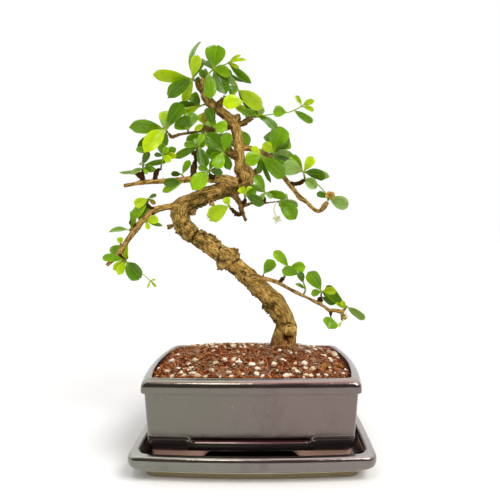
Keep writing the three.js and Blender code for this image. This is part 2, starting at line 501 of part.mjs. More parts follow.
// A leaf blade: a spoon-shaped outline in a few stations, arched along its length and sagging under its
// weight. Its upper and lower faces are split alike, and its two ends are closed flat.
const LONG_STATIONS = [[0, 0.08], [0.14, 0.3], [0.42, 0.9], [0.76, 0.98], [1, 0.42]];
const SHORT_STATIONS = [[0, 0.08], [0.16, 0.34], [0.62, 1], [1, 0.48]];
const SMALL_STATIONS = [[0, 0.1], [0.58, 1], [1, 0.45]];
const VIEWER = new THREE.Vector3(0, -1, 0);
const UP = new THREE.Vector3(0, 0, 1);

function blade(base, [, bearing, length, width, lean, roll, arch], grow = 0) {
  const [turn, tilt, twist, curl] = [bearing, lean, roll, arch].map(THREE.MathUtils.degToRad);
  const chord = new THREE.Vector3(
    Math.cos(turn) * Math.cos(tilt), -Math.sin(tilt), Math.sin(turn) * Math.cos(tilt));
  const facing = (Math.abs(chord.y) > 0.96 ? UP : VIEWER).clone();
  facing.addScaledVector(chord, -facing.dot(chord)).normalize().applyAxisAngle(chord, twist);
  const side = chord.clone().cross(facing);
  const arched = length > LONG_LEAF || arch > STRONG_ARCH;
  const stations = width < SMALL_LEAF ? SMALL_STATIONS : arched ? LONG_STATIONS : SHORT_STATIONS;
  const rings = stations.map(([t, share]) => {
    const bend = curl * (t - 0.5);
    const scale = (length + (t === 1 ? grow : 0)) / (2 * Math.sin(curl / 2));
    const middle = base.clone();
    middle.addScaledVector(chord, (Math.sin(bend) + Math.sin(curl / 2)) * scale);
    middle.addScaledVector(facing, (Math.cos(bend) - Math.cos(curl / 2)) * scale);
    middle.addScaledVector(UP, SAG * length * Math.hypot(chord.x, chord.y) * 4 * t * (1 - t));
    const face = facing.clone().multiplyScalar(Math.cos(bend)).addScaledVector(chord, Math.sin(bend));
    const half = (width / 2) * share + grow;
    const thin = BLADE_THICKNESS / 2 + grow;
    const point = (across, up) => middle.clone().addScaledVector(side, across).addScaledVector(face, up);
    return [point(-half, thin), point(half, thin), point(half, -thin), point(-half, -thin)];
  });
  const faces = [];
  for (let r = 0; r + 1 < rings.length; r++) {
    for (let k = 0; k < 4; k++) {
      const a = r * 4 + k;
      const b = r * 4 + ((k + 1) % 4);
      if (k === 2) faces.push(a, b, a + 4, b, b + 4, a + 4);
      else faces.push(a, b, b + 4, a, b + 4, a + 4);
    }
  }
  const last = (rings.length - 1) * 4;
  faces.push(0, 2, 1, 0, 3, 2, last, last + 1, last + 2, last, last + 2, last + 3);
  const geometry = new THREE.BufferGeometry().setFromPoints(rings.flat());
  geometry.setIndex(faces);
  return solidOf(geometry);
}

// Leaves on the far side of a spray, turned away from the viewer.
function farLeaves(sprayNumber, leafCount) {
  const rows = [];
  for (let k = 0; k < Math.floor(leafCount / LEAVES_PER_FAR_LEAF); k++) {
    const seed = sprayNumber * 31 + k * 7;
    const bearing = 360 * draw(seed);
    const lean = -45 - 28 * draw(seed + 1);
    const length = 15 + 9 * draw(seed + 2);
    const width = 8 + 4 * draw(seed + 3);
    const roll = 50 * (draw(seed + 4) - 0.5);
    rows.push([1, bearing, length, width, lean, roll, 25, 0]);
  }
  return rows;
}

// A spray: its shoot, and the leaves round its head in layers from the back to the front, so that those
// that lean towards the viewer grow in front.
function spray({ stem, leaves }, number, grow = 0) {
  const far = stem[0][1] > FAR_SIDE ? [] : farLeaves(number, leaves.length);
  const rows = [...leaves, ...far].sort((a, b) => a[4] - b[4]);
  const solids = [limb(stem, 4, grow)];
  const heads = stem.map((_, k) => rows.filter((row) => row[0] === k));
  heads.forEach((group, k) => {
    const [x, y, z] = stem[k];
    const reach = ((group.length - 1) / 2) * LAYER;
    if (group.length > 1) {
      const head = [[x, y + reach + 0.6, z, HEAD_RADIUS], [x, y - reach - 0.6, z, HEAD_RADIUS]];
      solids.push(limb(head, 4, grow));
    }
    group.forEach((leaf, layer) => {
      const base = new THREE.Vector3(x, y + reach - layer * LAYER, z);
      solids.push(blade(base, leaf, grow));
    });
  });
  return fuse(solids);
}

// The plan of the pot or the tray: an oblong with bowed sides and round corners, at a height.
const OUTLINE_STEPS = 3;

function plan({ halfX, halfY, corner, sideBow, frontBow, shiftX, shiftY }, inset, z, share = 1) {
  const [farX, farY] = [halfX - inset, halfY - inset];
  const [x, y] = [farX - corner, farY - corner];
  const path = new THREE.Path();
  path.moveTo(-x, -farY);
  path.quadraticCurveTo(0, -farY - 2 * frontBow, x, -farY);
  path.quadraticCurveTo(farX, -farY, farX, -y);
  path.quadraticCurveTo(farX + 2 * sideBow, 0, farX, y);
  path.quadraticCurveTo(farX, farY, x, farY);
  path.quadraticCurveTo(0, farY + 2 * frontBow, -x, farY);
  path.quadraticCurveTo(-farX, farY, -farX, y);
  path.quadraticCurveTo(-farX - 2 * sideBow, 0, -farX, -y);
  path.quadraticCurveTo(-farX, -farY, -x, -farY);
  const points = path.getPoints(OUTLINE_STEPS).slice(0, -1);
  return points.map((p) => new THREE.Vector3(p.x * share + shiftX, p.y * share + shiftY, z));
}

// A bowl-like solid from a section: each level is how far in from the rim it lies, and its height.
function vessel(outline, section) {
  return skin(section.map(([inset, z]) => plan(outline, inset, z)));
}

// The rim falls outwards from its inner edge and rounds over into the lip band.
function potBody() {
  const lip = POT_TOP - LIP_HEIGHT;
  const shoulder = POT_TOP - RIM_FALL;
  const seat = TRAY_FLOOR + GAP;
  const underside = seat + FOOT_HEIGHT;
  const floor = underside + FLOOR_THICKNESS;
  const shell = solidOf(vessel(POT, [
    [22, underside], [21, seat], [10.5, seat], [9.4, seat + 2], [8.8, underside + 0.6], [7.5, underside + 4.5],
    [BODY_INSET, underside + 9], [2.8, lip - 1.8], [0.6, lip], [0, lip + 1.8], [0, lip + 5.5], [0.8, lip + 8],
    [2.4, shoulder], [RIM_BREADTH - 1, POT_TOP], [WALL, POT_TOP - 1.5], [WALL + WALL_TAPER, floor + 2],
    [WALL + WALL_TAPER + 2.5, floor],
  ]));
  const cuts = [
    passage(FOOT_GAP_X, 2 * POT.halfY + 40, 0, seat),
    passage(FOOT_GAP_Y, 2 * POT.halfX + 40, Math.PI / 2, seat),
    slot(1),
    slot(-1),
  ];
  for (const x of [-DRAIN_X, DRAIN_X]) {
    const hole = new THREE.CylinderGeometry(DRAIN_RADIUS, DRAIN_RADIUS, 4 * FLOOR_THICKNESS, DRAIN_SIDES);
    cuts.push(solidOf(hole.rotateX(Math.PI / 2).translate(x, POT.shiftY, underside)));
  }
  return cuts.reduce((body, cut) => body.subtract(cut), shell);
}

// The low arch between two feet, cut right through the foot ring.
function passage(half, reach, turn, seat) {
  const top = FOOT_HEIGHT - 1;
  const arch = new THREE.Shape();
  arch.moveTo(-half - 4, -3);
  arch.lineTo(half + 4, -3);
  arch.lineTo(half + 2, 1);
  arch.quadraticCurveTo(half, top, half - 8, top);
  arch.lineTo(-half + 8, top);
  arch.quadraticCurveTo(-half, top, -half - 2, 1);
  const cutter = new THREE.ExtrudeGeometry(arch, { depth: reach, bevelEnabled: false, curveSegments: 3 });
  cutter.translate(0, 0, -reach / 2).rotateX(Math.PI / 2).rotateZ(turn);
  return solidOf(cutter.translate(0, POT.shiftY, seat));
}

// The long shallow recess with round ends on the front and the back, which follows the bowed wall.
function slot(sign) {
  const half = SLOT_HALF - SLOT_HEIGHT / 2;
  const steps = 5;
  const recess = new THREE.Shape();
  recess.absarc(half, 0, SLOT_HEIGHT / 2, -Math.PI / 2, Math.PI / 2);
  for (let k = 1; k < steps; k++) recess.lineTo(half - (2 * half * k) / steps, SLOT_HEIGHT / 2);
  recess.absarc(-half, 0, SLOT_HEIGHT / 2, Math.PI / 2, (3 * Math.PI) / 2);
  for (let k = 1; k < steps; k++) recess.lineTo(-half + (2 * half * k) / steps, -SLOT_HEIGHT / 2);
  const cutter = new THREE.ExtrudeGeometry(recess, { depth: 14, bevelEnabled: false, curveSegments: 4 });
  cutter.rotateX(Math.PI / 2);
  const wall = POT.halfY - BODY_INSET + POT.frontBow - SLOT_DEPTH;
  const position = cutter.attributes.position;
  for (let i = 0; i < position.count; i++) {
    const bow = POT.frontBow * (position.getX(i) / (POT.halfX - BODY_INSET)) ** 2;
    position.setY(i, position.getY(i) - wall + bow);
  }
  if (sign < 0) cutter.rotateZ(Math.PI);
  return solidOf(cutter.translate(0, POT.shiftY, SLOT_Z));
}

// The tray's thick rolled rim curves in below to a broad flat foot.
function trayBody() {
  return solidOf(vessel(TRAY, [
    [13.6, 0], [13.2, 4.8], [13.9, 5.5], [8.6, 7.4], [5.2, 10.2], [2.3, 13.4],
    [0.4, 17], [0, TRAY_TOP - 3.2], [1.6, TRAY_TOP - 0.3], [6.8, TRAY_TOP - 0.3], [8.4, TRAY_TOP - 2.6],
    [10, 14], [13, TRAY_FLOOR],
  ]));
}

// A square of coarse plastic mesh that lies over each drain hole.
function screenBody() {
  let screen = solidOf(new THREE.BoxGeometry(SCREEN_SIDE, SCREEN_SIDE, SCREEN_THICKNESS));
  const pitch = (SCREEN_SIDE - SCREEN_BAR) / SCREEN_HOLES;
  const hole = pitch - SCREEN_BAR;
  for (let i = 0; i < SCREEN_HOLES; i++) {
    for (let j = 0; j < SCREEN_HOLES; j++) {
      const x = (i - (SCREEN_HOLES - 1) / 2) * pitch;
      const y = (j - (SCREEN_HOLES - 1) / 2) * pitch;
      const cutter = new THREE.BoxGeometry(hole, hole, 3 * SCREEN_THICKNESS);
      screen = screen.subtract(solidOf(cutter.translate(x, y, 0)));
    }
  }
  return screen;
}

// The soil fills the pot to just below its rim, and rises to a mound round the trunk.
const SOIL_RINGS = 11;

function soilHeight(x, y, share, seed) {
  const spread = ((x - MOUND_X) / MOUND_SPREAD_X) ** 4 + ((y - MOUND_Y) / MOUND_SPREAD_Y) ** 2;
  const mound = MOUND_HEIGHT * Math.exp(-spread) * Math.min(1, 4 * (1 - share));
  return POT_TOP - SOIL_DROP + mound + GRAIN_RELIEF * (draw(seed) - 0.4) * (share < 1 ? 1 : 0);
}

function soilBody(trunkHole) {
  const floor = TRAY_FLOOR + FOOT_HEIGHT + FLOOR_THICKNESS + 2 * GAP;
  const top = POT_TOP - SOIL_DROP;
  const inset = (z) => WALL + GAP + (WALL_TAPER * (POT_TOP - z)) / (POT_TOP - floor);
  const rings = [floor, floor + 2.5, top].map((z, level) => {
    const corner = level ? inset(z) : inset(z) + 2.5;
    return plan(POT, corner, z);
  });
  for (let ring = 1; ring < SOIL_RINGS; ring++) {
    const share = 1 - ring / SOIL_RINGS;
    const points = plan(POT, inset(top), top, share);
    points.forEach((p, k) => p.setZ(soilHeight(p.x, p.y, share, ring * 61 + k)));
    rings.push(points);
  }
  let body = solidOf(skin(rings)).subtract(trunkHole);
  for (const x of [-DRAIN_X, DRAIN_X]) {
    const side = SCREEN_SIDE + 2 * GAP;
    const pocket = new THREE.BoxGeometry(side, side, 2 * (SCREEN_THICKNESS + GAP));
    body = body.subtract(solidOf(pocket.translate(x, POT.shiftY, floor)));
  }
  return body;
}

// A flower or bud: its pedicel, a round heart and a few spoon-shaped petals.
function flower({ pedicel, size, petals }) {
  const [x, y, z] = pedicel[pedicel.length - 1];
  const base = new THREE.Vector3(x, y, z);
  const heart = solidOf(new THREE.IcosahedronGeometry(HEART_RADIUS, 0).translate(x, y, z));
  const blades = petals.map(([bearing, lean]) =>
    blade(base, [0, bearing, size, size * PETAL_BREADTH, lean, 0, PETAL_ARCH, 0]));
  return fuse([limb(pedicel, 4), heart, ...blades]);
}

// The whole tree, pot and tray, each piece a named mesh.
const tree = new THREE.Group();
const holder = new THREE.Group();
const plant = new THREE.Group();
tree.add(holder, plant);

function place(group, name, geometry, color, roughness, metalness = 0) {
  const mesh = new THREE.Mesh(geometry, new THREE.MeshStandardMaterial({ color, roughness, metalness }));
  mesh.name = name;
  group.add(mesh);
  return mesh;
}

place(holder, "tray", geometryOf(trayBody()), GLAZE, 0.25, 0.3);
place(holder, "pot", geometryOf(potBody()), GLAZE, 0.22, 0.35);
for (const [side, x] of [["left", -DRAIN_X], ["right", DRAIN_X]]) {
  const screen = place(holder, `drain_screen_${side}`, geometryOf(screenBody()), MESH, 0.6);
  const level = TRAY_FLOOR + FOOT_HEIGHT + FLOOR_THICKNESS + 2 * GAP + SCREEN_THICKNESS / 2;
  screen.position.set(x, POT.shiftY, level);
}

const grownWood = wood(GAP);
place(holder, "soil", geometryOf(largestBody(soilBody(grownWood))), SOIL, 0.95);
place(plant, "trunk_and_branches", geometryOf(largestBody(wood())), BARK, 0.85);

// Each spray stands clear of the wood and of the sprays before it.
const placed = [];
Object.entries(SPRAYS).forEach(([name, row], number) => {
  let solid = spray(row, number).subtract(grownWood);
  for (const other of placed) solid = solid.subtract(other);
  placed.push(spray(row, number, GAP));
  const tones = row.leaves.map((leaf) => leaf[7]);
  const lime = tones.filter((tone) => tone === 3).length;
  const dark = tones.filter((tone) => tone === 0).length;
  const color = lime > dark ? GREEN.lime : dark > lime + 1 ? GREEN.deep : GREEN.fresh;
  place(plant, `leaves_${name}`, geometryOf(largestBody(solid)), color, 0.4);
});

for (const [name, row] of Object.entries(FLOWERS)) {
  let solid = flower(row).subtract(grownWood);
  for (const other of placed) solid = solid.subtract(other);
  place(plant, name, geometryOf(largestBody(solid)), name === "spent_flower" ? SPENT : PETAL, 0.6);
}

export default tree;
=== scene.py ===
"""A fukien tea bonsai in a glazed pot on its drip tray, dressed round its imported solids.

Tables and sizes are in millimetres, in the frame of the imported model: +Z up, seen from -Y, with the pot's
centre over the origin. Meshes are in metres.
"""

import logging
import math
from dataclasses import dataclass, field, replace
from enum import Enum

import bpy
import numpy as np
from mathutils import Matrix, Quaternion, Vector, kdtree, noise

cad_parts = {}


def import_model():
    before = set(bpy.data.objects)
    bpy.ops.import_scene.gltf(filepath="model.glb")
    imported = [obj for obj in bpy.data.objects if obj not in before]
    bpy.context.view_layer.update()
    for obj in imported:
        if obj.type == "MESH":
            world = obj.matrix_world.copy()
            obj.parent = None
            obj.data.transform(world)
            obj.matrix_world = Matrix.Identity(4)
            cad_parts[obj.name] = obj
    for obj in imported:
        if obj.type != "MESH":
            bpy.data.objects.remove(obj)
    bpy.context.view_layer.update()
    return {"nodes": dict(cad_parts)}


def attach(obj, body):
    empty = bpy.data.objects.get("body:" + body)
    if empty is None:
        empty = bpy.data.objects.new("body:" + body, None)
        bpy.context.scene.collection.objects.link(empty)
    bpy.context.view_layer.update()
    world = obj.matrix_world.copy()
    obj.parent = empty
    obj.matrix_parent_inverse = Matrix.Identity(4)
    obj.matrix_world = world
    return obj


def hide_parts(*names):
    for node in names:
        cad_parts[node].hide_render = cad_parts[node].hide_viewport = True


LOG = logging.getLogger("bonsai")
MM = 0.001
Thing = bpy.types.Object
Socket = bpy.types.NodeSocket
Row = list[float]
Pair = tuple[float, float]
Triple = tuple[float, float, float]
Colour = tuple[float, float, float, float]
Stops = tuple[Pair, ...]


def read_rows(text: str) -> list[Row]:
    """Reads rows of numbers that commas part."""
    return [[float(number) for number in row.split()] for row in text.split(",")]


def read_table(text: str) -> dict[str, list[list[Row]]]:
    """Reads a table of pieces.

    Args:
        text: Entries that semicolons part. Colons part the name and its lists of rows.
    Returns:
        The lists of rows by name.
    """
    entries = (entry.split(":") for entry in text.split(";"))
    return {name.strip(): [read_rows(part) for part in lists] for name, *lists in entries}


# Each limb as x, y, z and radius along it. The knots have the same four numbers.
LIMBS: dict[str, list[Row]] = {name: route for name, (route,) in read_table("""
trunk: 34 28 57 11.3, 34 28 73 13.6, 34 28 87 15.3, 34 28 96 14.7, 35 28 104 13.8, 37 28 113 11.8,
  35.3 28 123 10.9, 30.7 28 132 11.5, 23.5 28 143 11.5, 13.2 28 153.3 10.8, 2.4 28 164 10,
  -10.6 28 176 9.9, -22 28 186 9.9, -32 28 194.8 10.8, -43 28 202 10, -54 28 210 10, -66 28 217 9,
  -75.5 27 225.5 10.4, -81.5 27 235 10.3, -83.5 26 245 10.6, -79.5 26 253 10.2, -69 26 257.5 9.2,
  -57 27 263.8 9.4, -44 28 267.8 9.3, -29 29 272 9.7, -17 30 276 9.1, -7 30 282 7.7, -6 30 290 6.4,
  -12 28 298 5.2;
leader: -18 26 277 6.2, -12 24 284 6.8, -15.5 24 293 6.5, -15 25 304 5.9, -17 26 319 5.9, -19 27 334 5.8,
  -22 28 345 5.9, -29 28 353 5.7, -38 28 360 5.6, -47 28 367 5.6, -54 28 376 5.2, -57 28 386 4.9,
  -57 28 397 3.4;
left_limb: -18 24 277 6.8, -31 22 282 5.2, -43 20 282 4.8, -54 19 282 4, -65 18 282 3.8, -76 18 281 3.7,
  -91 18 280 3, -107 18 279 2.9, -123 18 278 2.8, -133 17 276 2.2, -144 16 274 2.2;
low_left_limb: -85 22 251 5.6, -94 20 251 3.8, -104 18 249 3.7, -111 16 246 4.1, -118 14 239 3.6,
  -124 12 233 3.5, -128 11 228 4.1, -133 9 220 3.3, -138 8 213 3, -143 7 205 3.1, -148 6 196 3.1,
  -154 5 191 2.6, -159 4 186 2.1;
upper_left_limb: -21 29 342 3.6, -34 34 343 3, -47 32 340 3.2, -56 28 340 3.4, -65 26 336 1.9,
  -75 24 334 1.7, -84 22 332 1.7, -91 20 329 2.3, -95 19 333 1.5;
stub: -17 26 308 3.8, -24 19 309 3.3, -30 16 310 2.7;
right_limb: -17 26 317 4.3, -8 27 318 3.5, 3 30 316 2.8, 13 32 312 2.9, 22 33 306 3, 29 33 295 2.9,
  35 33 285 2.9, 41 33 277 2.9, 49 32 267 2.6, 53 32 262 3.2, 60 31 257 2.3, 66 30 251 2.3, 71 29 247 2.3,
  76 28 247 2.3, 80 27 252 3.3, 84 27 257 2.5;
right_stub: -22 28 344 4.3, -12 31 347 3.4, -7 33 351 3.3, -1 34 354 2.5;
crown_stub: -43 27 362 4.5, -36 24 369 3.8, -34 23 374 2.5;
crown_fork: -56 28 380 4.1, -62 26 387 3.1, -65 25 391 1.8;
low_right_limb: -7 24 174 4.2, 9 19 171 3, 18.3 16 169.6 2.4, 28 13 166.5 2.4, 38 11 161 1.9,
  48 8 156 2.3, 59 6 151 1.6, 69 4 146 2.1, 77 2 142 1.7, 82 1 138 2.1, 88 0 138 2.2, 95 -2 137 2.4,
  98 -2 139 1.7;
under_twig: -28 26 271 5, -20 22 262 3.7, -15 20 254 2.9, -13 19 246 2.8, -11 19 241 2, -8 18 235 1.8;
under_right_twig: -15 20 253 2.5, -8 22 253 2.2, -3 24 255 1.6, 5 26 254 1.4, 12 28 256 1.9,
  16 28 256 1.1, 26 26 257 0.9;
spur_a: -67 18 282 3.1, -67 19 293 3.7, -65 20 302 2.2, -64 20 310 2.3, -62 20 316 1.7;
spur_b: -64 20 308 1.8, -68 20 312 2.2;
spur_c: -123 18 278 2.2, -125 18 286 3.2, -130 18 288 2.2, -136 18 290 1.4;
spur_d: -124 18 284 2.2, -122 17 293 1.7;
spur_e: -110 18 279 2.2, -109 18 286 2.9, -107 18 291 2.6, -103 18 293 1.3;
spur_f: -110 16 247 2.2, -115 16 250 2.2, -118 16 254 1.4;
spur_g: -111 16 245 1.8, -111 15 237 1.8;
spur_h: -129 11 228 2.6, -133 10 232 2.5, -134 10 237 1.3, -135 10 242 0.9;
spur_i: -147 6 199 2.2, -143 5 194 2.3, -139 4 192 1.8;
spur_j: 41 33 278 2.5, 48 32 278 2.5, 55 30 280 2.5, 58 29 282 1.6;
spur_k: -13 19 244 2.2, -17 17 242 2.6, -21 16 245 2.3, -25 15 249 1.6;
spur_l: -12 20 253 2, -9 19 259 2.6;
spur_m: 12 28 256 1.7, 12 28 263 1.8;
spur_n: 28 13 166 2, 33 13 172 2.6;
spur_o: 70 4 146 1.7, 73 3 152 2.2;
spur_p: 83 1 138 1.5, 84 0 132 1.5;
spur_s: -44 20 281 2.9, -48 16 287 1.8;
back_limb: -15 28 303 4.5, -20 40 309 3.9, -26 54 317 3.6, -32 68 326 3.2, -41 82 336 2.7, -48 94 344 1.9;
back_right_limb: -9 30 282 4.6, -5 42 287 4.2, 4 58 297 3.6, 14 72 308 3.2, 23 86 319 2.5, 28 96 325 1.8
""").items()}
KNOTS: list[Row] = read_rows("""
39 17 111 5.4, -32 20 196.5 5.4, -34 24 185.5 5.2, -25 25 196 5, -67 22 219 5.4, -47 22 255 3.4,
  -69 25 247 4.8, -61 25 255.5 4, -94 27 229 2.8, -19 27 352 4.6, -8 22 286 4.6, 73 4 148 2.8,
  97 -2 132 3.2
""")

# Each flower as its pedicel, like a limb, the bearing and lean of its petals, and their length.
FLOWERS: dict[str, list[list[Row]]] = read_table("""
hanging_flower: 25 26 255 0.7, 23 25 248 0.6, 26 24 237 0.7 :
  170 0, 100 20, 45 -20, -20 10, -100 0 : 5;
spent_flower: 85.4 25 260.6 0.8, 86.2 24 262.6 0.8 :
  165 20, 110 -15, 50 15, -15 25 : 6.5;
flower_bud: 99 -3 136.5 0.6, 101 -4 131 0.6, 96 -5 127.4 0.6, 93.4 -5 124.6 0.8 :
  -125 10, -135 -10 : 4.4
""")

